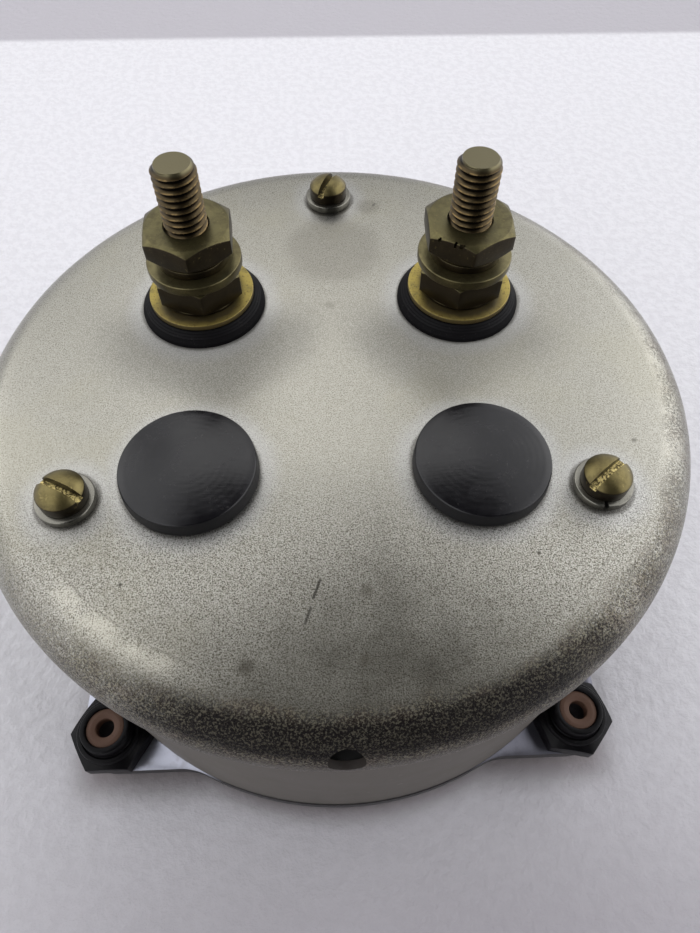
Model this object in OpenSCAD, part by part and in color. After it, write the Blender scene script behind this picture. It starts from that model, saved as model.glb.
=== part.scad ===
/* [Case] */
// Outside diameter of the round case body
case_d = 82.3; // [81:0.1:84]
// Wall of the case body
case_wall = 3.1; // [2.8:0.1:3.6]
// Thickness of the square mounting flange
flange_t = 1.5; // [1.2:0.1:2.4]
// Distance from a mounting nut's centre to the two sides of the flange beside it
flange_margin = 4.57; // [4.3:0.01:6]
// Radius of the four corners of the flange
flange_corner_r = 5; // [3:0.5:6]
// Radius of the hollow fillet where the flange runs into the round body
flange_blend_r = 8; // [4:0.5:12]
// Width of the inner ledge that carries the movement
ledge_w = 3.1; // [2.8:0.1:4]
// Thickness of the inner ledge
ledge_t = 3; // [2:0.1:3.2]

/* [Rear cover] */
// Height of the flat rear face of the cover above the front rim
rear_z = 43.6; // [42.5:0.1:50]
// Sheet thickness of the cover
cover_t = 0.8; // [0.6:0.1:1.2]
// Outside radius of the rolled edge of the cover
cover_edge_r = 5; // [4:0.5:6]
// Depth of the cover from its flat face to its lip
cover_skirt = 6.6; // [6:0.1:9]
// How far the case reaches up inside the lip
cover_lap = 1.2; // [1:0.1:1.6]
// Radial clearance of the cover round the case
cover_gap = 0.05; // [0.03:0.01:0.1]
// Diameter of the vent hole in the rolled edge
vent_d = 3.4; // [2:0.1:3.6]
// Depth of the vent hole's centre below the flat face
vent_drop = 3.6; // [3:0.1:4]
// Distance of the cover screws from the inner wall of the case
screw_inset = 5.95; // [5.4:0.05:6.4]
// Clearance hole for a cover screw
screw_hole_d = 3.9; // [3.7:0.1:4.2]

/* [Cover screws] */
// Shank diameter of a cover screw
screw_d = 3.5; // [3:0.1:3.6]
// Head diameter of a cover screw
screw_head_d = 5.2; // [5:0.1:5.8]
// Height of the straight side of the screw head
screw_head_h = 1.6; // [1.2:0.1:2.4]
// Rise of the dome on top of the screw head
screw_dome_h = 0.8; // [0.4:0.1:1]
// Width of the screwdriver slot
screw_slot_w = 0.9; // [0.7:0.05:1.1]
// Depth of the slot below the dome's edge
screw_slot_depth = 0.6; // [0.4:0.1:1]
// Reach of the screw below the cover
screw_reach = 8; // [5:0.5:12]
// Outside diameter of the split lock washer
split_washer_d = 6.3; // [6:0.1:6.6]
// Thickness of the split lock washer
split_washer_t = 0.9; // [0.7:0.1:1.2]
// Diameter of the pillars that take the cover screws
pillar_d = 6; // [5.5:0.1:6.4]

/* [Mounting nuts] */
// Distance of the mounting nuts' centres outside the round body: 3.3 puts them on the 88.9 mm circle
mount_out = 3.3; // [3.1:0.05:3.8]
// Distance across the flats of a mounting nut
mount_nut_af = 9.525; // [9:0.1:9.8]
// Height of the hexagon of a mounting nut
mount_nut_h = 3.5; // [2.5:0.1:4]
// Outside diameter of the round collar that holds the locking ring
collar_d = 6.5; // [6.2:0.1:7]
// Height of the collar over the hexagon
collar_h = 2; // [1.6:0.1:2.6]
// Diameter of the shank that is swaged through the flange
nut_shank_d = 6.2; // [5.5:0.1:6.6]
// Bore of the mounting nut and of its locking ring
mount_bore_d = 2.64; // [2.5:0.02:2.9]
// Outside diameter of the locking ring
lock_ring_d = 4.9; // [4.4:0.1:5.2]
// Height of the locking ring
lock_ring_h = 1.6; // [1.2:0.1:1.6]
// Depth of the locking ring below the collar's rim
lock_ring_sink = 0.2; // [0.1:0.05:0.3]
// Room round the hexagon in the spot face of the case
spot_face_gap = 0.2; // [0.1:0.05:0.3]

/* [Bezel and glass] */
// Step from the round body in to the front rim
rim_inset = 1.85; // [1.5:0.05:2.4]
// Height of the front rim in front of the mounting face
rim_proud = 3.1; // [2.5:0.1:4]
// Thickness of the black plate in front of the case flange
bezel_plate_t = 1; // [0.8:0.1:1.5]
// Width of the lip in front of the glass
lip_w = 1.85; // [1.4:0.05:2.4]
// Thickness of the lip in front of the glass
lip_t = 1.2; // [0.8:0.1:1.4]
// Wall of the spigot that reaches into the case
spigot_wall = 1.25; // [1.1:0.05:1.4]
// Thickness of the glass seal
gasket_t = 0.4; // [0.3:0.05:0.6]
// Thickness of the glass
glass_t = 2.2; // [1.8:0.1:2.4]
// Thickness of the retaining ring behind the glass
snap_ring_t = 0.8; // [0.6:0.05:1]
// Depth of the groove that the retaining ring springs into
snap_groove = 0.55; // [0.4:0.05:0.7]
// Gap between the ends of the retaining ring, in degrees
snap_gap_deg = 14; // [8:1:24]
// Room between the glass and the dial, taken up by the two rings
dial_space = 3.2; // [3.1:0.1:3.4]
// Thickness of the dial
dial_t = 0.8; // [0.6:0.1:1]
// Centre hole of the dial
dial_hole_d = 6; // [5:0.5:8]

/* [Pointer] */
// Length of the pointer from the staff to its tip
pointer_len = 27; // [22:0.5:30]
// Length of the pointer's tail
tail_len = 9; // [7:0.5:12]
// Width of the pointer at the hub
pointer_root_w = 3.2; // [2.4:0.2:4]
// Width of the pointer at its tip
pointer_tip_w = 0.9; // [0.6:0.1:1.4]
// Thickness of the pointer's blade
pointer_t = 0.4; // [0.3:0.05:0.5]
// Diameter of the pointer's hub
hub_d = 4.4; // [4:0.2:5.4]
// Height of the pointer's hub
hub_h = 1.3; // [1.1:0.1:1.4]
// Angle of the pointer at rest, from the +X axis
rest_deg = 40; // [38:1:45]

/* [Movement] */
// Thickness of the movement's frame plate
frame_t = 1.5; // [1.2:0.1:2.5]
// Diameter of the iron core
core_d = 12; // [11:0.2:12.4]
// Length of the iron core
core_len = 9.4; // [8:0.2:9.6]
// Bore between the two pole shoes
shoe_bore_d = 16; // [15.8:0.1:17]
// Height of the pole shoes and of the magnet
shoe_h = 10; // [9.8:0.2:12]
// Half the height over which a pole shoe faces the core
shoe_half_w = 6.8; // [6:0.1:6.9]
// Half the distance between the inner faces of the magnet
magnet_gap_half = 14; // [13.8:0.1:15]
// Room between the magnet's arch and the upper cover pillar
magnet_room = 0.6; // [0.4:0.1:1.5]
// Centre of the magnet's arch above the staff
magnet_arch_y = 7; // [7:0.1:7.2]
// Reach of the magnet's legs below the staff
magnet_leg_y = 11; // [8:0.5:12]
// Height of the bosses under the shoes and the magnet
boss_h = 2.6; // [2.6:0.1:3.4]
// Thickness of the coil's winding
winding_t = 0.9; // [0.6:0.05:0.9]
// Thickness of the coil's former
former_t = 0.3; // [0.2:0.05:0.3]
// Room between the core and the coil's former
core_air = 0.35; // [0.3:0.05:0.4]
// Width of the coil's former
former_w = 2.4; // [2:0.1:2.6]
// Width of the winding on the former
winding_w = 2; // [1.4:0.1:2]
// Diameter of the staff
staff_d = 1.2; // [1:0.1:1.4]
// Diameter of the rear pivot
pivot_d = 1; // [0.8:0.1:1.1]
// Running clearance of staff and pivot in their bearings, on the radius
pivot_gap = 0.05; // [0.03:0.01:0.08]
// Diameter of the collets that hold the staff to the coil
collet_d = 2; // [1.8:0.1:2.4]
// Room between the coil and the rear bridge
bridge_air = 1.2; // [1.2:0.1:2]
// Thickness of the rear bridge
bridge_t = 1.2; // [1:0.1:2]
// Width of the rear bridge
bridge_w = 5; // [4:0.2:5.6]
// Outside diameter of the jewel screw
jewel_screw_d = 2.4; // [2:0.1:2.8]
// Outer radius of the hairsprings
hairspring_r = 4.5; // [4:0.1:5]
// Thickness of the hairspring strip
hairspring_t = 0.18; // [0.12:0.02:0.24]
// Width of the hairspring strip
hairspring_h = 0.4; // [0.3:0.05:0.4]
// Number of turns of each hairspring
hairspring_turns = 3.5; // [2.5:0.5:4]

/* [Terminals] */
// How much further out the terminals lie than the plugs
terminal_shift = 0.4; // [0:0.1:1]
// Height of the terminals above the centre
terminal_y = 12.1; // [11.5:0.1:13]
// Hole in the cover for a terminal bush or a plug
terminal_hole_d = 8.1; // [7.6:0.1:8.6]
// Diameter of the bush where it meets the cover
bush_d = 15; // [14.4:0.1:15.4]
// Diameter of the bush at its rear face
bush_top_d = 13.2; // [13:0.1:14]
// Height of the bush over the cover
bush_h = 1.7; // [1.2:0.1:2.5]
// Outside diameter of the inner insulator
insulator_d = 14; // [12:0.2:15]
// Thickness of the inner insulator
insulator_t = 2.6; // [2.2:0.1:3.4]
// Reach of the bush or plug spigot below the cover's rear face
spigot_len = 2.4; // [1.6:0.1:2.5]
// Major diameter of the terminal stud
stud_d = 4.82; // [4.6:0.02:4.9]
// Depth of the stud's thread to its pitch line, by which the stud is thinner inside the nuts
stud_relief = 0.26; // [0.2:0.01:0.3]
// Running clearance of the terminal nuts on the stud, on the radius
nut_gap = 0.03; // [0.02:0.01:0.05]
// Height of the stud's tip over the cover
stud_top = 19.2; // [18:0.1:21]
// Chamfer on the stud's tip
stud_chamfer = 0.5; // [0.3:0.1:0.8]
// Diameter of the stud's inner head
stud_head_d = 8.4; // [7:0.2:9]
// Thickness of the stud's inner head
stud_head_t = 2; // [1.5:0.1:2.5]
// Diameter of the flat washer on the bush
base_washer_d = 12.6; // [12:0.1:13]
// Thickness of the flat washer on the bush
base_washer_t = 0.7; // [0.5:0.05:1]
// Diameter of the thin washer under the lower nut
thin_washer_d = 9; // [8:0.2:9.2]
// Thickness of the thin washer under the lower nut
thin_washer_t = 0.4; // [0.3:0.05:0.6]
// Distance across the flats of a terminal nut
nut_af = 9.525; // [9:0.1:10]
// Height of a terminal nut
nut_h = 3.5; // [3:0.1:4]
// Diameter of the clamp washer between the nuts
clamp_washer_d = 11; // [10.4:0.1:11.6]
// Thickness of the clamp washer
clamp_washer_t = 1.1; // [0.8:0.1:1.4]
// Diameter of the lock washer under the upper nut
nut_washer_d = 8.2; // [7.6:0.1:8.8]
// Thickness of the lock washer under the upper nut
nut_washer_t = 1; // [0.8:0.1:1.2]
// Turn of the corners of the left lower, left upper, right lower and right upper nut
nut_turns = [40, 28, 20, 39]; // [0:1:59]
// Thickness of the solder lugs
lug_t = 0.5; // [0.4:0.05:0.8]
// Length of the solder lugs from the stud's centre
lug_len = 9; // [8:0.5:10]

/* [Hole plugs] */
// Room on the cover between a plug and the lock washer beside it
plug_room = 1.95; // [1.2:0.05:2.6]
// Distance of the plugs below the centre
plug_y = 13.2; // [12:0.1:14]
// Diameter of the plug where it meets the cover
plug_d = 14.6; // [14:0.1:15]
// Height of the plug over the cover
plug_h = 2.4; // [1.8:0.1:3]
// Taper of the plug's side, on the radius
plug_taper = 0.35; // [0.2:0.05:0.6]

/* [Series resistor] */
// Distance of the resistor's bobbin from the inner wall of the case
bobbin_inset = 14.05; // [12.5:0.05:15]
// Diameter of the bobbin's flanges
bobbin_d = 11; // [9:0.2:12]
// Length of the bobbin
bobbin_len = 11; // [9:0.5:14]
// Thickness of the bobbin's flanges
bobbin_flange_t = 1; // [0.8:0.1:1.4]
// Diameter of the winding on the bobbin
bobbin_winding_d = 9; // [7.5:0.1:9]
// Diameter of the two connecting leads
lead_d = 1.2; // [1:0.1:1.6]

/* [Hidden] */
$fn = 96;

// General clearances: a slip fit, a screw in its hole, and an overrun for cuts
slip = 0.05;
screw_gap = 0.03;
over = 1;

// Radii of the case, and the circles that lie on it
case_r = case_d / 2;
case_in_r = case_r - case_wall;
mount_r = case_r + mount_out;
flange_half = mount_r / sqrt(2) + flange_margin;
screw_circle_r = case_in_r - screw_inset;
bobbin_y = case_in_r - bobbin_inset;
flange_z = rim_proud + bezel_plate_t;
flange_top_z = flange_z + flange_t;
case_top_z = rear_z - cover_skirt + cover_lap;

// Radii and heights of the bezel and of what it holds
rim_r = case_r - rim_inset;
spigot_r = case_in_r - slip;
bezel_in_r = spigot_r - spigot_wall;
window_r = bezel_in_r - lip_w;
glass_r = bezel_in_r - slip;
glass_z = lip_t + gasket_t;
glass_top_z = glass_z + glass_t;
snap_top_z = glass_top_z + snap_ring_t;
dial_z = glass_top_z + dial_space;
dial_top_z = dial_z + dial_t;
dial_r = spigot_r - spigot_wall - 3 * slip;
spacer_in_r = window_r + slip;
rim_chamfer = 0.4;
seal_inset = 0.25;

// Ledge and frame plate; the dial stands free in front of the ledge
ledge_air = 0.6;
ledge_z = dial_top_z + ledge_air;
frame_z = ledge_z + ledge_t;
frame_top_z = frame_z + frame_t;
ledge_in_r = case_in_r - ledge_w;
frame_r = case_in_r - 3 * slip;

// Heights of the movement
shoe_z = frame_top_z + boss_h;
shoe_top_z = shoe_z + shoe_h;
core_z = shoe_z + (shoe_h - core_len) / 2;
core_top_z = core_z + core_len;
core_r = core_d / 2;
shoe_r = shoe_bore_d / 2;
former_air_z = 0.4;
former_in_r = core_r + core_air;
former_out_r = former_in_r + former_t;
winding_out_r = former_out_r + winding_t;
former_z = core_z - former_air_z;
former_top_z = core_top_z + former_air_z;
coil_z = former_z - former_t - winding_t;
coil_top_z = former_top_z + former_t + winding_t;
bridge_z = coil_top_z + bridge_air;
bridge_top_z = bridge_z + bridge_t;
coil_deg = rest_deg - 90;

// Staff, collets and hairsprings
staff_r = staff_d / 2;
pivot_r = pivot_d / 2;
collet_r = collet_d / 2;
collet_h = 0.7;
pivot_reach = 0.25;
jewel_screw_proud = 2.2;
jewel_slot_depth = 0.7;
lock_nut_af = 4.4;
lock_nut_h = 1.3;
pivot_end_z = bridge_z + pivot_reach;
spring_air = 0.3;
spring_steps = 24;
spring_in_r = collet_r + spring_air + hairspring_t / 2;
spring_front_air = 0.5;
spring_rear_air = 0.25;
spring_front_z = frame_top_z + spring_front_air;
spring_rear_z = coil_top_z + spring_rear_air;
stub_r = 0.4;
bearing_flange_r = 3;
bearing_flange_t = 1.2;
stub_x = hairspring_r + hairspring_t / 2 + stub_r + slip;
hub_air = 0.7;
hub_z = dial_z - hub_air - hub_h;
hub_face = 0.3;
pointer_z = hub_z + hub_face;
weight_t = 0.8;
weight_r = 1.6;

// Small screws of the movement
tiny_r = 0.8;
tiny_head_r = 1.4;
tiny_head_h = 0.9;
tiny_slot_w = 0.4;
dial_screw_head_r = 1.8;
dial_screw_grip = 2.2;
frame_screw_grip = 2;
bridge_screw_grip = 5;
bridge_bore_depth = 6;
frame_screw_inset = 1.6;
frame_screw_r = case_in_r - frame_screw_inset;
frame_screw_deg = [30, 150, 270];
dial_post_x = 16;
dial_post_y = -18;
dial_post_r = 2.2;
shoe_screw_inset = 3;
shoe_screw_x = magnet_gap_half - shoe_screw_inset;
shoe_screw_y = 4.2;
boss_r = 1.8;
bridge_leg_inset = 2.5;
bridge_leg_x = magnet_gap_half - bridge_leg_inset;
bridge_leg_r = 1.9;
magnet_boss_y = -6;
magnet_w = screw_circle_r - pillar_d / 2 - magnet_room - magnet_arch_y - magnet_gap_half;
magnet_out_half = magnet_gap_half + magnet_w;

// Core supports
support_half_w = 2.2;
support_t = 2;
support_in_y = shoe_r + 0.2;
support_inset = 2.2;
support_low_z = core_z + support_inset;
support_top_z = core_top_z - support_inset;
support_foot = 3;
support_foot_t = 1.2;

// Cover
cover_r = case_r + cover_gap + cover_t;
cover_in_z = rear_z - cover_t;
lip_z = rear_z - cover_skirt;
cover_screw_deg = [90, 210, 330];
slot_deg = [65, 153, 38];
split_deg = [200, 250, 282];
split_cut = 0.5;
pillar_r = pillar_d / 2;
pillar_shank_r = 1.5;

// Mounting nuts, and the turn of each one's corners
mount_deg = [225, 315, 45, 135];
mount_turn = [15, 35, 12, 48];
mount_nut_z = flange_top_z;
collar_z = mount_nut_z + mount_nut_h;
collar_top_z = collar_z + collar_h;
lock_ring_top_z = collar_top_z - lock_ring_sink;
lock_ring_z = lock_ring_top_z - lock_ring_h;
nut_shank_r = nut_shank_d / 2;

// Terminals, from the cover outwards and inwards
plug_x = screw_circle_r * cos(30) - split_washer_d / 2 - plug_d / 2 - plug_room;
terminal_x = plug_x + terminal_shift;
moulding_edge = 0.3;
terminal_hole_r = terminal_hole_d / 2;
spigot_plug_r = terminal_hole_r - slip;
stud_r = stud_d / 2;
stud_low_r = stud_r - stud_relief;
stud_bore_r = stud_r + nut_gap;
washer_bore_r = stud_r + 2 * slip;
bush_top_z = rear_z + bush_h;
base_top_z = bush_top_z + base_washer_t;
lower_nut_z = base_top_z + thin_washer_t;
lower_nut_top_z = lower_nut_z + nut_h;
clamp_top_z = lower_nut_top_z + clamp_washer_t;
upper_nut_z = clamp_top_z + nut_washer_t;
upper_nut_top_z = upper_nut_z + nut_h;
stud_tip_z = rear_z + stud_top;
stud_step = 0.1;
stud_step_z = upper_nut_top_z + stud_step;
insulator_z = cover_in_z - insulator_t;
insulator_step_z = rear_z - spigot_len - slip;
lug_z = insulator_z - lug_t;
stud_head_z = lug_z - stud_head_t;
lug_w = 3.6;
lug_hole_y = lug_len - 2;

// Series resistor
bobbin_top_z = frame_top_z + bobbin_len;
bobbin_core_r = 2.4;
bobbin_bore_r = 1.05;
bobbin_head_r = 2;
bobbin_head_h = 1.3;
tag_x = 3.9;
tag_r = 0.5;
tag_h = 1.2;

// Routes of the two leads: hand-chosen points between the lug and the tag or bridge
lead_r = lead_d / 2;
lead_gap = 0.2;
lead_drop = 2.2;
lug_point = [terminal_x, terminal_y - lug_hole_y, lug_z - lead_gap];
left_route = [
    [-lug_point.x, lug_point.y, lug_point.z],
    [-lug_point.x, lug_point.y, lug_point.z - lead_drop],
    [-14.4, 1.5, 35],
    [-11, -6, 33],
    [-7.5, -14, 30.8],
    [-tag_x - 0.8, -bobbin_y + 3, bobbin_top_z + 5],
    [-tag_x, -bobbin_y, bobbin_top_z + tag_h + 1.6],
    [-tag_x, -bobbin_y, bobbin_top_z + tag_h + lead_gap]
];
right_route = [
    [lug_point.x, lug_point.y, lug_point.z],
    [lug_point.x, lug_point.y, lug_point.z - lead_drop],
    [14, 3.6, 34.6],
    [10.4, 1.8, 33],
    [7.2, 0.4, bridge_top_z + 2.6],
    [6.6, 0, bridge_top_z + 1.4],
    [6.6, 0, bridge_top_z + lead_gap]
];
lead_steps = 4;
lead_sides = 8;

// Building blocks

module disc(r, z0, z1) {
    translate([0, 0, z0]) cylinder(r = r, h = z1 - z0);
}

module tube(r_out, r_in, z0, z1) {
    difference() {
        disc(r_out, z0, z1);
        disc(r_in, z0 - over, z1 + over);
    }
}

// A hexagon whose chosen ends are turned to a chamfer of 30 degrees
module chamfered_hex(af, z0, z1, turn, low_chamfer, top_chamfer) {
    face_r = af / 2 - 0.1;
    reach = af / 2 / cos(30) + 0.3;
    rise = (reach - face_r) * tan(30);
    intersection() {
        translate([0, 0, z0]) rotate([0, 0, turn]) cylinder(r = af / 2 / cos(30), h = z1 - z0, $fn = 6);
        rotate_extrude() polygon([
            [0, low_chamfer ? z0 : z0 - over],
            [low_chamfer ? face_r : reach, low_chamfer ? z0 : z0 - over],
            [reach, low_chamfer ? z0 + rise : z0],
            [reach, top_chamfer ? z1 - rise : z1],
            [top_chamfer ? face_r : reach, top_chamfer ? z1 : z1 + over],
            [0, top_chamfer ? z1 : z1 + over]
        ]);
    }
}

module at_each(angles, r) {
    for (i = [0:len(angles) - 1])
        rotate([0, 0, angles[i]]) translate([r, 0, 0]) children();
}

// A slotted cheese head with its shank, head up, under side of the head at z = 0
module small_screw(r, reach, head_r, head_h, slot_w) {
    difference() {
        union() {
            disc(r, -reach, 0);
            disc(head_r, 0, head_h);
        }
        translate([-head_r - over, -slot_w / 2, head_h * 0.5])
            cube([2 * head_r + 2 * over, slot_w, head_h]);
    }
}

// Strip that winds outwards by an even step
function spiral_r(t) = spring_in_r + (hairspring_r - spring_in_r) * t;
function spiral_side(shift) = [
    for (i = [0:hairspring_turns * spring_steps])
        let(t = i / (hairspring_turns * spring_steps), a = (t - 1) * hairspring_turns * 360)
            (spiral_r(t) + shift) * [cos(a), sin(a)]
];
module hairspring(z) {
    inner = spiral_side(-hairspring_t / 2);
    outer = spiral_side(hairspring_t / 2);
    last = len(inner) - 1;
    translate([0, 0, z]) linear_extrude(hairspring_h)
        polygon(concat(outer, [for (i = [0:last]) inner[last - i]]));
}

// Smooth tube through a list of points
function spline(a, b, c, d, t) = 0.5 * (2 * b + (c - a) * t + (2 * a - 5 * b + 4 * c - d) * t * t
    + (3 * b - a - 3 * c + d) * t * t * t);
function smooth_route(p) = concat(
    [for (i = [0:len(p) - 2], k = [0:lead_steps - 1])
        spline(p[max(i - 1, 0)], p[i], p[i + 1], p[min(i + 2, len(p) - 1)], k / lead_steps)],
    [p[len(p) - 1]]
);
function unit(v) = v / norm(v);
module lead(route) {
    p = smooth_route(route);
    n = len(p);
    rings = [for (i = [0:n - 1])
        let(
            ahead = unit(p[min(i + 1, n - 1)] - p[max(i - 1, 0)]),
            side = unit(cross(ahead, [0.31, 0.95, 0.05])),
            up = cross(side, ahead)
        )
        for (k = [0:lead_sides - 1])
            p[i] + lead_r * (cos(k * 360 / lead_sides) * side + sin(k * 360 / lead_sides) * up)
    ];
    sides = [for (i = [0:n - 2], k = [0:lead_sides - 1])
        let(j = (k + 1) % lead_sides, a = i * lead_sides)
            each [[a + k, a + j, a + j + lead_sides], [a + k, a + j + lead_sides, a + k + lead_sides]]
    ];
    near_cap = [for (k = [1:lead_sides - 2]) [0, k + 1, k]];
    first = (n - 1) * lead_sides;
    far_cap = [for (k = [1:lead_sides - 2]) [first, first + k, first + k + 1]];
    polyhedron(points = rings, faces = concat(sides, near_cap, far_cap));
}

// Square flange outline that runs into the round body through hollow fillets
module flange_outline() {
    half = flange_half;
    c = flange_corner_r;
    round_r = case_r + 0.15;
    blend_x = sqrt(pow(round_r + flange_blend_r, 2) - pow(half + flange_blend_r, 2));
    touch = round_r / (round_r + flange_blend_r);
    circle(r = round_r);
    square([2 * (half - c), 2 * half], center = true);
    square([2 * half, 2 * (half - c)], center = true);
    for (x = [-1, 1], y = [-1, 1]) translate([x * (half - c), y * (half - c)]) circle(r = c);
    for (side = [0:90:270], s = [-1, 1]) rotate(side) difference() {
        polygon([
            [s * blend_x * 0.8, half * 0.9],
            [s * blend_x, half * 0.9],
            [s * blend_x, half + flange_blend_r],
            [s * blend_x * touch, (half + flange_blend_r) * touch]
        ]);
        translate([s * blend_x, half + flange_blend_r]) circle(r = flange_blend_r);
    }
}

module at_mounts() {
    at_each(mount_deg, mount_r) children();
}

// Front parts

module bezel() color([0.09, 0.09, 0.1]) difference() {
    union() {
        rotate_extrude() polygon([
            [window_r, 0], [rim_r - rim_chamfer, 0], [rim_r, rim_chamfer],
            [rim_r, rim_proud + bezel_plate_t / 2], [window_r, rim_proud + bezel_plate_t / 2]
        ]);
        translate([0, 0, rim_proud]) linear_extrude(bezel_plate_t) flange_outline();
        disc(spigot_r, rim_proud, dial_z);
    }
    disc(window_r, -over, lip_t + over);
    disc(bezel_in_r, lip_t, dial_z + over);
    disc(bezel_in_r + snap_groove, glass_top_z - slip / 2, snap_top_z + slip / 2);
    at_mounts() disc(nut_shank_r + slip, 0, flange_z + over);
}

module glass_seal() color([0.12, 0.12, 0.12]) tube(glass_r, window_r + seal_inset, lip_t, glass_z);

module glass() color([0.8, 0.88, 0.9, 0.4]) disc(glass_r, glass_z, glass_top_z);

module glass_ring() color([0.55, 0.55, 0.56]) difference() {
    tube(bezel_in_r + snap_groove - slip, window_r + seal_inset, glass_top_z, snap_top_z);
    rotate([0, 0, 270 - snap_gap_deg / 2])
        rotate_extrude(angle = snap_gap_deg)
            translate([window_r - over, glass_top_z - over])
                square([case_in_r - window_r + 2 * over, snap_ring_t + 2 * over]);
}

module spacer_ring() color([0.13, 0.13, 0.13]) tube(glass_r - slip, spacer_in_r, snap_top_z, dial_z);

module dial() color([0.08, 0.08, 0.08]) difference() {
    disc(dial_r, dial_z, dial_top_z);
    disc(dial_hole_d / 2, dial_z - over, dial_top_z + over);
    for (s = [-1, 1]) translate([s * dial_post_x, dial_post_y, 0])
        disc(tiny_r + screw_gap, dial_z - over, dial_top_z + over);
}

module dial_screws() color([0.5, 0.48, 0.42])
    for (s = [-1, 1]) translate([s * dial_post_x, dial_post_y, dial_z]) rotate([180, 0, 0])
        rotate([0, 0, 35 * s])
            small_screw(tiny_r, dial_t + dial_screw_grip, dial_screw_head_r, tiny_head_h, tiny_slot_w);

module pointer() color([0.93, 0.93, 0.88]) rotate([0, 0, rest_deg]) difference() {
    union() {
        translate([0, 0, pointer_z]) linear_extrude(pointer_t) polygon([
            [-tail_len, -pointer_root_w * 0.6], [0, -pointer_root_w * 0.42],
            [pointer_len * 0.78, -pointer_root_w * 0.32], [pointer_len - 1, -pointer_tip_w / 2],
            [pointer_len, 0], [pointer_len - 1, pointer_tip_w / 2],
            [pointer_len * 0.78, pointer_root_w * 0.32], [0, pointer_root_w * 0.42],
            [-tail_len, pointer_root_w * 0.6]
        ]);
        disc(hub_d / 2, hub_z, hub_z + hub_h);
    }
    disc(staff_r + slip / 2, hub_z - over, hub_z + hub_h + over);
}

module pointer_weight() color([0.7, 0.58, 0.3]) rotate([0, 0, rest_deg])
    translate([-tail_len + weight_r + hub_face, 0, 0])
        disc(weight_r, pointer_z + pointer_t, pointer_z + pointer_t + weight_t);

// Case and its mounting nuts

module case() color([0.52, 0.52, 0.47]) difference() {
    union() {
        translate([0, 0, flange_z]) linear_extrude(flange_t) flange_outline();
        disc(case_r, flange_z, case_top_z);
    }
    disc(case_in_r, flange_z - over, ledge_z);
    disc(ledge_in_r, ledge_z - over, frame_z + over);
    disc(case_in_r, frame_z, case_top_z + over);
    at_mounts() {
        disc(nut_shank_r + slip, flange_z - over, flange_top_z + over);
        disc(mount_nut_af / 2 / cos(30) + spot_face_gap, mount_nut_z, collar_top_z + over);
    }
    at_each(frame_screw_deg, frame_screw_r)
        disc(tiny_r + screw_gap, frame_z - frame_screw_grip - slip, frame_z + over);
}

module mounting_nuts() color([0.07, 0.07, 0.08])
    for (i = [0:3]) rotate([0, 0, mount_deg[i]]) translate([mount_r, 0, 0])
        rotate([0, 0, -mount_deg[i]]) difference() {
            union() {
                chamfered_hex(mount_nut_af, mount_nut_z, collar_z, mount_turn[i], false, true);
                disc(collar_d / 2, collar_z - over, collar_top_z);
                disc(nut_shank_r, rim_proud, mount_nut_z + over);
            }
            disc(mount_bore_d / 2, rim_proud - over, collar_top_z + over);
            disc(lock_ring_d / 2 + slip, lock_ring_z, collar_top_z + over);
        }

module nut_lock_rings() color([0.42, 0.2, 0.12])
    at_mounts() tube(lock_ring_d / 2, mount_bore_d / 2, lock_ring_z, lock_ring_top_z);

// Movement: a permanent-magnet moving coil

module movement_frame() color([0.72, 0.6, 0.34]) difference() {
    union() {
        disc(frame_r, frame_z, frame_top_z);
        for (x = [-1, 1], y = [-1, 1]) translate([x * shoe_screw_x, y * shoe_screw_y, 0])
            disc(boss_r, frame_z, shoe_z);
        for (x = [-1, 1]) translate([x * (magnet_gap_half + magnet_w / 2), magnet_boss_y, 0])
            disc(boss_r, frame_z, shoe_z);
        translate([0, magnet_arch_y + magnet_gap_half + magnet_w / 2, 0]) disc(boss_r, frame_z, shoe_z);
        for (s = [-1, 1]) translate([s * dial_post_x, dial_post_y, 0])
            disc(dial_post_r, dial_top_z, frame_top_z);
        translate([stub_x, 0, 0]) disc(stub_r, frame_z, spring_front_z + hairspring_h + slip);
    }
    disc(boss_r + slip / 2, frame_z - over, frame_top_z + over);
    for (x = [-1, 1], y = [-1, 1]) translate([x * shoe_screw_x, y * shoe_screw_y, 0])
        disc(tiny_r + screw_gap, frame_z - over, shoe_z + over);
    for (s = [-1, 1]) translate([s * dial_post_x, dial_post_y, 0])
        disc(tiny_r + screw_gap, dial_top_z - over, frame_z);
    at_each(cover_screw_deg, screw_circle_r)
        disc(pillar_shank_r + screw_gap, frame_z - over, frame_top_z + over);
    at_each(frame_screw_deg, frame_screw_r) disc(tiny_r + screw_gap, frame_z - over, frame_top_z + over);
    translate([0, -bobbin_y, 0]) disc(bobbin_bore_r, frame_z - over, frame_top_z + over);
}

module frame_screws() color([0.55, 0.54, 0.5]) at_each(frame_screw_deg, frame_screw_r)
    translate([0, 0, frame_top_z])
        small_screw(tiny_r, frame_t + frame_screw_grip, tiny_head_r, tiny_head_h, tiny_slot_w);

module front_bearing() color([0.75, 0.6, 0.3]) difference() {
    union() {
        disc(bearing_flange_r, frame_z - bearing_flange_t, frame_z);
        disc(boss_r, frame_z - bearing_flange_t, frame_top_z);
    }
    disc(staff_r + pivot_gap, frame_z - bearing_flange_t - over, frame_top_z + over);
}

module front_hairspring() color([0.35, 0.4, 0.55]) hairspring(spring_front_z);

module front_staff() color([0.65, 0.65, 0.66]) {
    disc(staff_r, hub_z, coil_z - collet_h / 2);
    disc(collet_r, coil_z - collet_h, coil_z);
}

// Rectangular loop round the core, in the plane that the coil stands in at rest
module coil_loop(out_r, in_r, z0, z1, t, w) {
    rotate([0, 0, coil_deg]) difference() {
        translate([-out_r, -w / 2, z0 - t]) cube([2 * out_r, w, z1 - z0 + 2 * t]);
        translate([-in_r, -w / 2 - over, z0]) cube([2 * in_r, w + 2 * over, z1 - z0]);
    }
}

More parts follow.
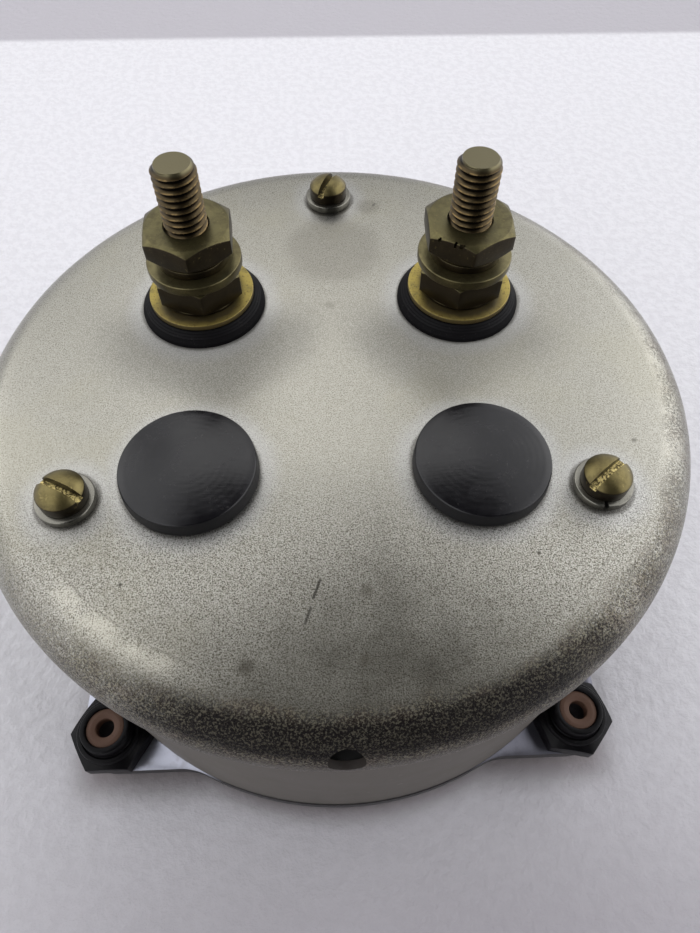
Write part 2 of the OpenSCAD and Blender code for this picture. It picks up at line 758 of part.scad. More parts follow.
module coil_former() color([0.75, 0.76, 0.78])
    coil_loop(former_out_r, former_in_r, former_z, former_top_z, former_t, former_w);

module coil_winding() color([0.72, 0.36, 0.16])
    coil_loop(winding_out_r, former_out_r, former_z - former_t, former_top_z + former_t, winding_t, winding_w);

module core() color([0.42, 0.42, 0.44]) disc(core_r, core_z, core_top_z);

module core_supports() color([0.7, 0.6, 0.35]) for (side = [0, 180]) rotate([0, 0, side]) {
    difference() {
        translate([-support_half_w, 0, support_low_z])
            cube([2 * support_half_w, support_in_y + support_t, support_top_z - support_low_z]);
        disc(core_r + screw_gap, support_low_z - over, support_top_z + over);
    }
    translate([-support_half_w, support_in_y, frame_top_z])
        cube([2 * support_half_w, support_t, support_low_z - frame_top_z + over]);
    translate([-support_half_w, support_in_y, frame_top_z])
        cube([2 * support_half_w, support_t + support_foot, support_foot_t]);
}

module pole_shoe() color([0.45, 0.45, 0.47]) difference() {
    inner_x = sqrt(shoe_r * shoe_r - shoe_half_w * shoe_half_w);
    translate([inner_x, -shoe_half_w, shoe_z]) cube([magnet_gap_half - inner_x, 2 * shoe_half_w, shoe_h]);
    disc(shoe_r, shoe_z - over, shoe_top_z + over);
    for (y = [-1, 1]) translate([shoe_screw_x, y * shoe_screw_y, 0])
        disc(tiny_r + screw_gap, shoe_z - over, shoe_top_z + over);
    translate([bridge_leg_x, 0, 0]) disc(tiny_r + screw_gap, shoe_top_z - bridge_bore_depth, shoe_top_z + over);
}

module pole_shoe_right() pole_shoe();

module pole_shoe_left() rotate([0, 0, 180]) pole_shoe();

module shoe_screws() color([0.5, 0.5, 0.48])
    for (x = [-1, 1], y = [-1, 1]) translate([x * shoe_screw_x, y * shoe_screw_y, shoe_top_z])
        rotate([0, 0, 40 * x + 15 * y])
            small_screw(tiny_r, shoe_h + boss_h + frame_t / 2, tiny_head_r, tiny_head_h, tiny_slot_w);

module magnet() color([0.3, 0.31, 0.33]) translate([0, 0, shoe_z]) linear_extrude(shoe_h) difference() {
    union() {
        translate([0, magnet_arch_y]) circle(r = magnet_out_half);
        translate([-magnet_out_half, -magnet_leg_y])
            square([2 * magnet_out_half, magnet_arch_y + magnet_leg_y]);
    }
    translate([0, magnet_arch_y]) circle(r = magnet_gap_half);
    translate([-magnet_gap_half, -magnet_out_half - over - magnet_leg_y])
        square([2 * magnet_gap_half, magnet_arch_y + magnet_leg_y + magnet_out_half + over]);
    translate([-magnet_out_half - over, -magnet_leg_y - 2 * magnet_out_half])
        square([2 * magnet_out_half + 2 * over, 2 * magnet_out_half]);
}

module rear_pivot() color([0.65, 0.65, 0.66]) {
    disc(collet_r, coil_top_z, coil_top_z + collet_h);
    disc(pivot_r, coil_top_z + collet_h / 2, pivot_end_z);
}

module rear_hairspring() color([0.35, 0.4, 0.55]) hairspring(spring_rear_z);

module rear_bridge() color([0.74, 0.62, 0.34]) difference() {
    union() {
        translate([-bridge_leg_x, -bridge_w / 2, bridge_z]) cube([2 * bridge_leg_x, bridge_w, bridge_t]);
        for (x = [-1, 1]) translate([x * bridge_leg_x, 0, 0]) {
            disc(bridge_w / 2, bridge_z, bridge_top_z);
            disc(bridge_leg_r, shoe_top_z, bridge_z + bridge_t / 2);
        }
        translate([stub_x, 0, 0]) disc(stub_r, spring_rear_z - slip, bridge_z + bridge_t / 2);
    }
    disc(jewel_screw_d / 2 + screw_gap, bridge_z - over, bridge_top_z + over);
    for (x = [-1, 1]) translate([x * bridge_leg_x, 0, 0])
        disc(tiny_r + screw_gap, shoe_top_z - over, bridge_top_z + over);
}

module bridge_screws() color([0.5, 0.5, 0.48]) for (x = [-1, 1])
    translate([x * bridge_leg_x, 0, bridge_top_z]) rotate([0, 0, 30 - 50 * x])
        small_screw(tiny_r, bridge_top_z - shoe_top_z + bridge_screw_grip,
            tiny_head_r, tiny_head_h, tiny_slot_w);

module jewel_screw() color([0.78, 0.66, 0.36]) difference() {
    disc(jewel_screw_d / 2, bridge_z - 2 * slip, bridge_top_z + jewel_screw_proud);
    disc(pivot_r + pivot_gap, bridge_z - over, pivot_end_z + slip);
    translate([-jewel_screw_d, -tiny_slot_w / 2, bridge_top_z + jewel_screw_proud - jewel_slot_depth])
        cube([2 * jewel_screw_d, tiny_slot_w, jewel_slot_depth + over]);
}

module jewel_lock_nut() color([0.76, 0.64, 0.36]) difference() {
    chamfered_hex(lock_nut_af, bridge_top_z, bridge_top_z + lock_nut_h, 10, false, true);
    disc(jewel_screw_d / 2 + screw_gap, bridge_z, bridge_top_z + lock_nut_h + over);
}

// Series resistor

module resistor_bobbin() color([0.3, 0.18, 0.1]) translate([0, -bobbin_y, 0]) difference() {
    union() {
        disc(bobbin_core_r, frame_top_z, bobbin_top_z);
        disc(bobbin_d / 2, frame_top_z, frame_top_z + bobbin_flange_t);
        disc(bobbin_d / 2, bobbin_top_z - bobbin_flange_t, bobbin_top_z);
    }
    disc(bobbin_bore_r, frame_top_z - over, bobbin_top_z + over);
    for (s = [-1, 1]) translate([s * tag_x, 0, 0])
        disc(tag_r + screw_gap, bobbin_top_z - bobbin_flange_t - over, bobbin_top_z + over);
}

module resistor_winding() color([0.6, 0.42, 0.2]) translate([0, -bobbin_y, 0]) {
    low = frame_top_z + bobbin_flange_t;
    high = bobbin_top_z - bobbin_flange_t;
    tube(bobbin_winding_d / 2, bobbin_core_r + screw_gap, low, high);
    for (s = [-1, 1]) translate([s * tag_x, 0, 0]) disc(tag_r, high - over, bobbin_top_z + tag_h);
}

module resistor_screw() color([0.55, 0.54, 0.5]) translate([0, -bobbin_y, bobbin_top_z])
    rotate([0, 0, 20])
        small_screw(bobbin_bore_r - screw_gap, bobbin_len + frame_t, bobbin_head_r, bobbin_head_h, tiny_slot_w);

// Rear cover and what fastens it

module cover_pillars() color([0.72, 0.6, 0.34]) at_each(cover_screw_deg, screw_circle_r) difference() {
    union() {
        disc(pillar_r, frame_top_z, cover_in_z);
        disc(pillar_shank_r, frame_z, frame_top_z + over);
    }
    disc(screw_d / 2 + screw_gap, rear_z - screw_reach - over, cover_in_z + over);
}

module rear_cover() color([0.6, 0.6, 0.57]) difference() {
    rotate_extrude() {
        bend_z = rear_z - cover_edge_r;
        bend_r = cover_r - cover_edge_r;
        difference() {
            union() {
                translate([0, lip_z]) square([cover_r, bend_z - lip_z]);
                translate([0, lip_z]) square([bend_r, rear_z - lip_z]);
                intersection() {
                    translate([bend_r, bend_z]) circle(r = cover_edge_r);
                    translate([bend_r - over, bend_z - over]) square(cover_edge_r + 2 * over);
                }
            }
            translate([-over, lip_z - over]) square([cover_r - cover_t + over, bend_z - lip_z + over]);
            translate([-over, lip_z - over]) square([bend_r + over, cover_in_z - lip_z + over]);
            translate([bend_r, bend_z]) circle(r = cover_edge_r - cover_t);
        }
    }
    at_each(cover_screw_deg, screw_circle_r) disc(screw_hole_d / 2, cover_in_z - over, rear_z + over);
    for (x = [-1, 1]) {
        translate([x * terminal_x, terminal_y, 0]) disc(terminal_hole_r, cover_in_z - over, rear_z + over);
        translate([x * plug_x, -plug_y, 0]) disc(terminal_hole_r, cover_in_z - over, rear_z + over);
    }
    translate([0, -cover_r - over, rear_z - vent_drop]) rotate([-90, 0, 0])
        cylinder(r = vent_d / 2, h = cover_edge_r + over);
}

module cover_screws() color([0.7, 0.56, 0.28]) for (i = [0:2])
    rotate([0, 0, cover_screw_deg[i]]) translate([screw_circle_r, 0, rear_z + split_washer_t])
        rotate([0, 0, slot_deg[i] - cover_screw_deg[i]]) {
            head_r = screw_head_d / 2;
            dome_r = (head_r * head_r + screw_dome_h * screw_dome_h) / 2 / screw_dome_h;
            difference() {
                union() {
                    disc(screw_d / 2, -screw_reach - split_washer_t, over / 2);
                    disc(head_r, 0, screw_head_h);
                    intersection() {
                        translate([0, 0, screw_head_h + screw_dome_h - dome_r]) sphere(r = dome_r);
                        disc(head_r, screw_head_h - over / 2, screw_head_h + screw_dome_h + over);
                    }
                }
                translate([-head_r - over, -screw_slot_w / 2, screw_head_h - screw_slot_depth])
                    cube([2 * head_r + 2 * over, screw_slot_w, screw_dome_h + screw_slot_depth + over]);
            }
        }

// Ring with one narrow cut through it
module split_ring(r_out, r_in, z0, z1, cut_deg) {
    difference() {
        tube(r_out, r_in, z0, z1);
        rotate([0, 0, cut_deg]) translate([0, -split_cut / 2, z0 - over])
            cube([r_out + over, split_cut, z1 - z0 + 2 * over]);
    }
}

module cover_lock_washers() color([0.6, 0.6, 0.58]) for (i = [0:2])
    rotate([0, 0, cover_screw_deg[i]]) translate([screw_circle_r, 0, 0])
        rotate([0, 0, -cover_screw_deg[i]])
            split_ring(split_washer_d / 2, screw_d / 2 + slip, rear_z, rear_z + split_washer_t, split_deg[i]);

module plug(x) color([0.08, 0.08, 0.09]) translate([x, -plug_y, 0]) {
    plug_r = plug_d / 2;
    rotate_extrude() polygon([
        [0, rear_z], [plug_r, rear_z], [plug_r, rear_z + moulding_edge],
        [plug_r - plug_taper, rear_z + plug_h - moulding_edge],
        [plug_r - plug_taper - moulding_edge, rear_z + plug_h],
        [0, rear_z + plug_h]
    ]);
    disc(spigot_plug_r, rear_z - spigot_len, rear_z + over);
}

module plug_left() plug(-plug_x);

module plug_right() plug(plug_x);

// Terminals, each module for one side: s is -1 on the left and 1 on the right

module at_terminal(s) {
    translate([s * terminal_x, terminal_y, 0]) children();
}

module bush(s) color([0.08, 0.08, 0.09]) at_terminal(s) difference() {
    union() {
        rotate_extrude() polygon([
            [0, rear_z], [bush_d / 2, rear_z], [bush_d / 2, rear_z + moulding_edge],
            [bush_top_d / 2, bush_top_z], [0, bush_top_z]
        ]);
        disc(spigot_plug_r, rear_z - spigot_len, rear_z + over);
    }
    disc(stud_r + slip, rear_z - spigot_len - over, bush_top_z + over);
}

module insulator(s) color([0.25, 0.14, 0.08]) at_terminal(s) difference() {
    disc(insulator_d / 2, insulator_z, cover_in_z);
    disc(terminal_hole_r, insulator_step_z, cover_in_z + over);
    disc(stud_r + slip, insulator_z - over, cover_in_z + over);
}

module stud(s) color([0.5, 0.45, 0.28]) at_terminal(s) {
    disc(stud_head_d / 2, stud_head_z, lug_z);
    disc(stud_low_r, lug_z - over, stud_step_z);
    rotate_extrude() polygon([
        [0, stud_step_z], [stud_r, stud_step_z], [stud_r, stud_tip_z - stud_chamfer],
        [stud_r - stud_chamfer, stud_tip_z], [0, stud_tip_z]
    ]);
}

module lug(s) color([0.72, 0.62, 0.4]) at_terminal(s) difference() {
    union() {
        disc(stud_head_d / 2, lug_z, insulator_z);
        translate([-lug_w / 2, -lug_hole_y, lug_z]) cube([lug_w, lug_hole_y, lug_t]);
        translate([0, -lug_hole_y, 0]) disc(lug_w / 2, lug_z, insulator_z);
    }
    disc(stud_r + slip, lug_z - over, insulator_z + over);
}

module base_washer(s) color([0.72, 0.6, 0.22]) at_terminal(s)
    tube(base_washer_d / 2, washer_bore_r, bush_top_z, base_top_z);

module lower_nut(s, turn) color([0.42, 0.37, 0.24]) at_terminal(s) difference() {
    union() {
        chamfered_hex(nut_af, lower_nut_z, lower_nut_top_z, turn, true, true);
        disc(thin_washer_d / 2, base_top_z, lower_nut_z + over);
    }
    disc(stud_low_r + nut_gap, base_top_z - over, lower_nut_top_z + over);
}

module clamp_washer(s) color([0.45, 0.4, 0.27]) at_terminal(s)
    tube(clamp_washer_d / 2, washer_bore_r, lower_nut_top_z, clamp_top_z);

module nut_washer(s) color([0.4, 0.37, 0.28]) at_terminal(s)
    split_ring(nut_washer_d / 2, stud_r + slip, clamp_top_z, upper_nut_z, 90 + s * 60);

module upper_nut(s, turn) color([0.47, 0.42, 0.27]) at_terminal(s) difference() {
    chamfered_hex(nut_af, upper_nut_z, upper_nut_top_z, turn, true, true);
    disc(stud_bore_r, upper_nut_z - over, upper_nut_top_z + over);
}

module bush_left() bush(-1);

module bush_right() bush(1);

module insulator_left() insulator(-1);

module insulator_right() insulator(1);

module stud_left() stud(-1);

module stud_right() stud(1);

module lug_left() lug(-1);

module lug_right() lug(1);

module base_washer_left() base_washer(-1);

module base_washer_right() base_washer(1);

module lower_nut_left() lower_nut(-1, nut_turns[0]);

module lower_nut_right() lower_nut(1, nut_turns[2]);

module clamp_washer_left() clamp_washer(-1);

module clamp_washer_right() clamp_washer(1);

module nut_washer_left() nut_washer(-1);

module nut_washer_right() nut_washer(1);

module upper_nut_left() upper_nut(-1, nut_turns[1]);

module upper_nut_right() upper_nut(1, nut_turns[3]);

module lead_left() color([0.55, 0.1, 0.08]) lead(left_route);

module lead_right() color([0.1, 0.1, 0.1]) lead(right_route);

bezel();
glass_seal();
glass();
glass_ring();
spacer_ring();
dial();
dial_screws();
pointer();
pointer_weight();
case();
mounting_nuts();
nut_lock_rings();
movement_frame();
frame_screws();
front_bearing();
front_hairspring();
front_staff();
coil_former();
coil_winding();
core();
core_supports();
pole_shoe_left();
pole_shoe_right();
shoe_screws();
magnet();
rear_pivot();
rear_hairspring();
rear_bridge();
bridge_screws();
jewel_screw();
jewel_lock_nut();
resistor_bobbin();
resistor_winding();
resistor_screw();
cover_pillars();
rear_cover();
cover_screws();
cover_lock_washers();
plug_left();
plug_right();
bush_left();
bush_right();
insulator_left();
insulator_right();
stud_left();
stud_right();
lug_left();
lug_right();
base_washer_left();
base_washer_right();
lower_nut_left();
lower_nut_right();
clamp_washer_left();
clamp_washer_right();
nut_washer_left();
nut_washer_right();
upper_nut_left();
upper_nut_right();
lead_left();
lead_right();
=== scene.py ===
"""Oil quantity gauge, lying on its face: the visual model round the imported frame."""

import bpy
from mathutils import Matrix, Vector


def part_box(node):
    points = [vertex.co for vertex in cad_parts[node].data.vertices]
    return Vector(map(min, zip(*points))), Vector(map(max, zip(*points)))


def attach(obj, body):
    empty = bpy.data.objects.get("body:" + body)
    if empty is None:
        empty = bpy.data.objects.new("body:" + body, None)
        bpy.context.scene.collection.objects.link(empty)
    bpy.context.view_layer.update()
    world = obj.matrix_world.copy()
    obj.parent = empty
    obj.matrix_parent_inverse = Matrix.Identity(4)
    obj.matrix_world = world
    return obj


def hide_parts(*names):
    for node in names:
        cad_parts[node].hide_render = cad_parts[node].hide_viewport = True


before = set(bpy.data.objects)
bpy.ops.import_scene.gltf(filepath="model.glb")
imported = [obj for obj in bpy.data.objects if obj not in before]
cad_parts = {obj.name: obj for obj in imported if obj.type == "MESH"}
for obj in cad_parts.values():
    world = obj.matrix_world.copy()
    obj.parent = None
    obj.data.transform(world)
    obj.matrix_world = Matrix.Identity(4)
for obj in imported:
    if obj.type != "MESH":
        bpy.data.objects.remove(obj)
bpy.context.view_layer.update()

import math

import bmesh
import bpy
from bpy.props import FloatProperty, FloatVectorProperty, IntProperty, PointerProperty
from mathutils import Matrix, Vector

bl_info = {
    "name": "Oil quantity gauge",
    "version": (1, 0, 0),
    "blender": (4, 5, 0),
    "location": "3D View > Sidebar > Gauge",
    "description": "Builds the looks of a panel gauge with a speckled rear cover and two terminals",
    "category": "Object",
}

MM = 0.001
FULL_TURN = 2 * math.pi
SIDES = {"left": -1, "right": 1}
RING_STEPS = 96


def linear(red, green, blue):
    """A colour in steps of 0 to 255, as the shader's linear light."""

    def one(step):
        share = step / 255
        return share / 12.92 if share <= 0.04045 else ((share + 0.055) / 1.055) ** 2.4

    return one(red), one(green), one(blue)


def reach_of(node):
    """The lowest and highest corner of a CAD node, in millimetres."""
    low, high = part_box(node)
    return Vector(low) / MM, Vector(high) / MM


def centre_of(node):
    """The x and y of a CAD node's middle, in millimetres."""
    low, high = reach_of(node)
    return (low.x + high.x) / 2, (low.y + high.y) / 2


# Sizes and colours


def length(name, description, millimetres):
    return FloatProperty(
        name=name, description=description, default=millimetres * MM, unit="LENGTH", precision=5
    )


def angle(name, description, degrees):
    return FloatProperty(
        name=name, description=description, default=math.radians(degrees), subtype="ANGLE"
    )


def colour(name, description, *steps):
    shade = linear(*steps)
    return FloatVectorProperty(
        name=name, description=description, default=shade, subtype="COLOR", size=3, min=0.0, max=1.0
    )


class GaugeSizes(bpy.types.PropertyGroup):
    """Sizes that the visual model adds to the frame."""

    cover_edge: length("Cover edge", "Radius of the cover's rounded edge", 5.0)
    cover_sheet: length("Cover sheet", "Thickness of the cover's sheet", 0.8)
    vent: length("Vent", "Diameter of the hole in the cover's side", 3.5)
    thread_pitch: length("Thread pitch", "Pitch of the terminal studs' thread", 25.4 / 32)
    thread_depth: length("Thread depth", "Depth of the terminal studs' thread", 0.44)
    nut_flats: length("Nut flats", "Width across the flats of every nut", 9.53)
    slot_width: length("Slot", "Width of the cover screws' slots", 0.86)
    slot_depth: length("Slot depth", "Depth of the cover screws' slots", 1.3)
    edge_ease: length("Edge ease", "Rounding of the turned parts' edges", 0.12)
    figure_height: length("Figures", "Height of the dial's figures", 6.4)
    long_mark: length("Long marks", "Length of the dial's long marks", 4.4)
    short_mark: length("Short marks", "Length of the dial's short marks", 2.6)
    scale_radius: length("Scale radius", "Radius of the scale's outer edge", 32.6)
    scale_start: angle("Scale start", "Turn of the scale's zero from the side", 40)
    scale_sweep: angle("Scale sweep", "Angle from the scale's zero to its end", 100)
    thread_steps: IntProperty(
        name="Thread steps", description="Facets in one turn of the thread", default=72, min=24
    )


class GaugeColours(bpy.types.PropertyGroup):
    """Colours of the finishes."""

    cover_light: colour("Cover, light", "Light grains of the cover's paint", 190, 188, 180)
    cover_mid: colour("Cover, middle", "Main grey of the cover's paint", 150, 148, 139)
    cover_dark: colour("Cover, dark", "Dark grains of the cover's paint", 86, 82, 68)
    cover_grime: colour("Cover, grime", "Dirt along the cover's front edge", 36, 29, 25)
    case_grey: colour("Case", "Grey-olive paint of the case", 90, 84, 76)
    # Olive and brown brass are tarnish; on the tops and sides of the nuts and screws they are also
    # painted light and painted shade
    bakelite: colour("Bakelite", "Black moulded bushes and plugs", 10, 9, 12)
    brass_olive: colour("Olive brass", "Tarnish of the nuts and studs", 98, 92, 62)
    brass_brown: colour("Brown brass", "Darker tarnish on the sides", 52, 45, 33)
    brass_yellow: colour("Yellow brass", "The washers on the bushes", 166, 148, 74)
    brass_bright: colour("Bright brass", "Scraped and machined brass", 208, 190, 126)
    black_steel: colour("Black steel", "The mounting nuts' finish", 7, 6, 8)
    fibre: colour("Fibre", "The mounting nuts' locking rings", 86, 60, 45)
    floor_white: colour("Floor", "The pale floor", 220, 219, 223)


# Shader maths


class Value:
    """A socket that varies over a surface. Arithmetic on it adds the Math nodes."""

    def __init__(self, finish, socket):
        self.finish = finish
        self.socket = socket

    def maths(self, operation, first, second=0.0):
        return self.finish.node("Math", {0: first, 1: second}, operation=operation)

    def __add__(self, other):
        return self.maths("ADD", self, other)

    def __radd__(self, other):
        return self.maths("ADD", other, self)

    def __sub__(self, other):
        return self.maths("SUBTRACT", self, other)

    def __rsub__(self, other):
        return self.maths("SUBTRACT", other, self)

    def __mul__(self, other):
        return self.maths("MULTIPLY", self, other)

    def __rmul__(self, other):
        return self.maths("MULTIPLY", other, self)

    def __truediv__(self, other):
        return self.maths("DIVIDE", self, other)

    def __rtruediv__(self, other):
        return self.maths("DIVIDE", other, self)

    def __neg__(self):
        return self.maths("MULTIPLY", self, -1.0)

    def __abs__(self):
        return self.maths("ABSOLUTE", self)


class Nodes:
    """A node tree under construction."""

    def __init__(self, owner):
        owner.use_nodes = True
        self.tree = owner.node_tree
        self.tree.nodes.clear()

    def node(self, kind, values=None, output=0, **settings):
        made = self.tree.nodes.new("ShaderNode" + kind)
        for name, setting in settings.items():
            setattr(made, name, setting)
        for name, value in (values or {}).items():
            if isinstance(value, Value):
                self.tree.links.new(value.socket, made.inputs[name])
            else:
                made.inputs[name].default_value = value
        return Value(self, made.outputs[output]) if made.outputs else None

    def vector(self, operation, first, second=None, scale=None, output=0):
        values = {0: first, 1: second, "Scale": scale}
        values = {name: value for name, value in values.items() if value is not None}
        return self.node("VectorMath", values, output=output, operation=operation)

    def fade(self, value, low, high):
        """0 where value is under low, 1 over high, smooth between."""
        return self.node("MapRange", {0: value, 1: low, 2: high}, interpolation_type="SMOOTHSTEP")

    def blend(self, share, first, second):
        """The first colour where share is 0 and the second where it is 1."""
        first, second = (c if isinstance(c, Value) else (*c, 1.0) for c in (first, second))
        return self.node("Mix", {0: share, 6: first, 7: second}, output=2, data_type="RGBA")

    def larger(self, first, second):
        return self.node("Math", {0: first, 1: second}, operation="MAXIMUM")


class Finish(Nodes):
    """A material under construction. x, y, z and place are Object coordinates in millimetres."""

    def __init__(self, name):
        self.material = bpy.data.materials.new(name)
        super().__init__(self.material)
        spot = self.node("TexCoord", output="Object")
        self.place = self.vector("SCALE", spot, scale=1 / MM)
        self.x, self.y, self.z = (
            self.node("SeparateXYZ", {0: self.place}, output=axis) for axis in range(3)
        )
        outward = self.node("TexCoord", output="Normal")
        self.facing = self.node("SeparateXYZ", {0: outward}, output=2)
        self.base = None

    def noise(self, per_mm, detail=2.0, rough=0.5, spot=None, twist=0.0):
        values = {"Vector": spot or self.place, "Scale": per_mm, "Detail": detail}
        return self.node("TexNoise", {**values, "Roughness": rough, "Distortion": twist})

    def away(self, x, y):
        """Distance from an upright line through x, y."""
        flat = self.node("CombineXYZ", {0: self.x, 1: self.y})
        return self.vector("DISTANCE", flat, (x, y, 0.0), output=1)

    def stroke(self, start, end, width):
        """1 along a straight scratch from start to end, 0 beside it."""
        run = Vector(end) - Vector(start)
        middle, along = (Vector(start) + Vector(end)) / 2, run.normalized()
        dx, dy = self.x - middle.x, self.y - middle.y
        far = abs(dx * along.x + dy * along.y)
        off = abs(dy * along.x - dx * along.y)
        half = run.length / 2
        return (1.0 - self.fade(off, width * 0.3, width)) * (1.0 - self.fade(far, half * 0.8, half))

    def coat(self, share, *tone):
        """Lays a tone over the base: a colour, or red, green and blue in steps of 0 to 255."""
        over = linear(*tone) if len(tone) == 3 else tone[0]
        self.base = self.blend(share, self.base, over)

    def surface(self, rough, metal=0.0, bumps=(), **constants):
        """Finishes the material. Each bump is a height with its depth in millimetres."""
        base = self.base if isinstance(self.base, Value) else (*self.base, 1.0)
        values = {"Base Color": base, "Roughness": rough, "Metallic": metal}
        for height, depth in bumps:
            settings = {"Height": height, "Distance": depth * MM, "Strength": 1.0}
            if "Normal" in values:
                settings["Normal"] = values["Normal"]
            values["Normal"] = self.node("Bump", settings)
        for name, value in constants.items():
            values[name.replace("_", " ")] = value
        self.node("OutputMaterial", {0: self.node("BsdfPrincipled", values)})
        return self.material


# Mesh building


def eased(corners, closed=False):
    """Rounds a profile's corners: each corner is (radius, height) or (radius, height, ease)."""
    points = []
    last = len(corners) - 1
    eases = [corner[2] if len(corner) > 2 else 0 for corner in corners]
    for index, (corner, ease) in enumerate(zip(corners, eases)):
        here = Vector(corner[:2])
        if not ease or (not closed and index in (0, last)):
            points.append(here)
            continue
        cuts = []
        for near in (index - 1, (index + 1) % len(corners)):
            side = Vector(corners[near][:2]) - here
            cuts.append((side, 0.95 * side.length * ease / (ease + eases[near])))
        (before, room), (after, other_room) = cuts
        half = before.angle(after) / 2
        cut = min(ease / math.tan(half), room, other_room)
        middle = (before.normalized() + after.normalized()).normalized() * cut / math.cos(half)
        start = before.normalized() * cut - middle
        end = after.normalized() * cut - middle
        steps = 12 if ease > 1 else 3
        for step in range(steps + 1):
            points.append(here + middle + start.slerp(end, step / steps) * start.length)
    return points


def spun(profile, centre, steps, closed=False, start=0.0, sweep=None, climb=0.0):
    """A profile of (radius, height) points spun round an upright axis, once or by a sweep."""
    solid = bmesh.new()
    x, y = math.cos(start), math.sin(start)
    ring = [solid.verts.new((centre[0] + r * x, centre[1] + r * y, z)) for r, z in profile]
    pairs = zip(ring, ring[1:] + ring[:1] if closed else ring[1:])
    edges = [solid.edges.new(pair) for pair in pairs]
    bmesh.ops.spin(
        solid,
        geom=ring + edges,
        cent=(*centre, 0),
        axis=(0, 0, 1),
        dvec=(0, 0, climb / steps),
        angle=FULL_TURN if sweep is None else sweep,
        steps=steps,
        use_merge=sweep is None and not climb,
    )
    return solid


def close_ends(solid):
    """Fills both ends of a closed profile that was spun by less than a turn."""
    bmesh.ops.holes_fill(solid, edges=[e for e in solid.edges if e.is_boundary])


def ease_edges(solid, width, sharp):
    """Rounds the edges that turn by more than an angle in degrees."""
    bmesh.ops.recalc_face_normals(solid, faces=solid.faces)
    edges = [e for e in solid.edges if e.calc_face_angle(0) > math.radians(sharp)]
    bmesh.ops.bevel(
        solid,
        geom=edges,
        offset=width,
        offset_type="OFFSET",
        affect="EDGES",
        segments=2,
        profile=0.5,
        material=-1,
        clamp_overlap=True,
    )


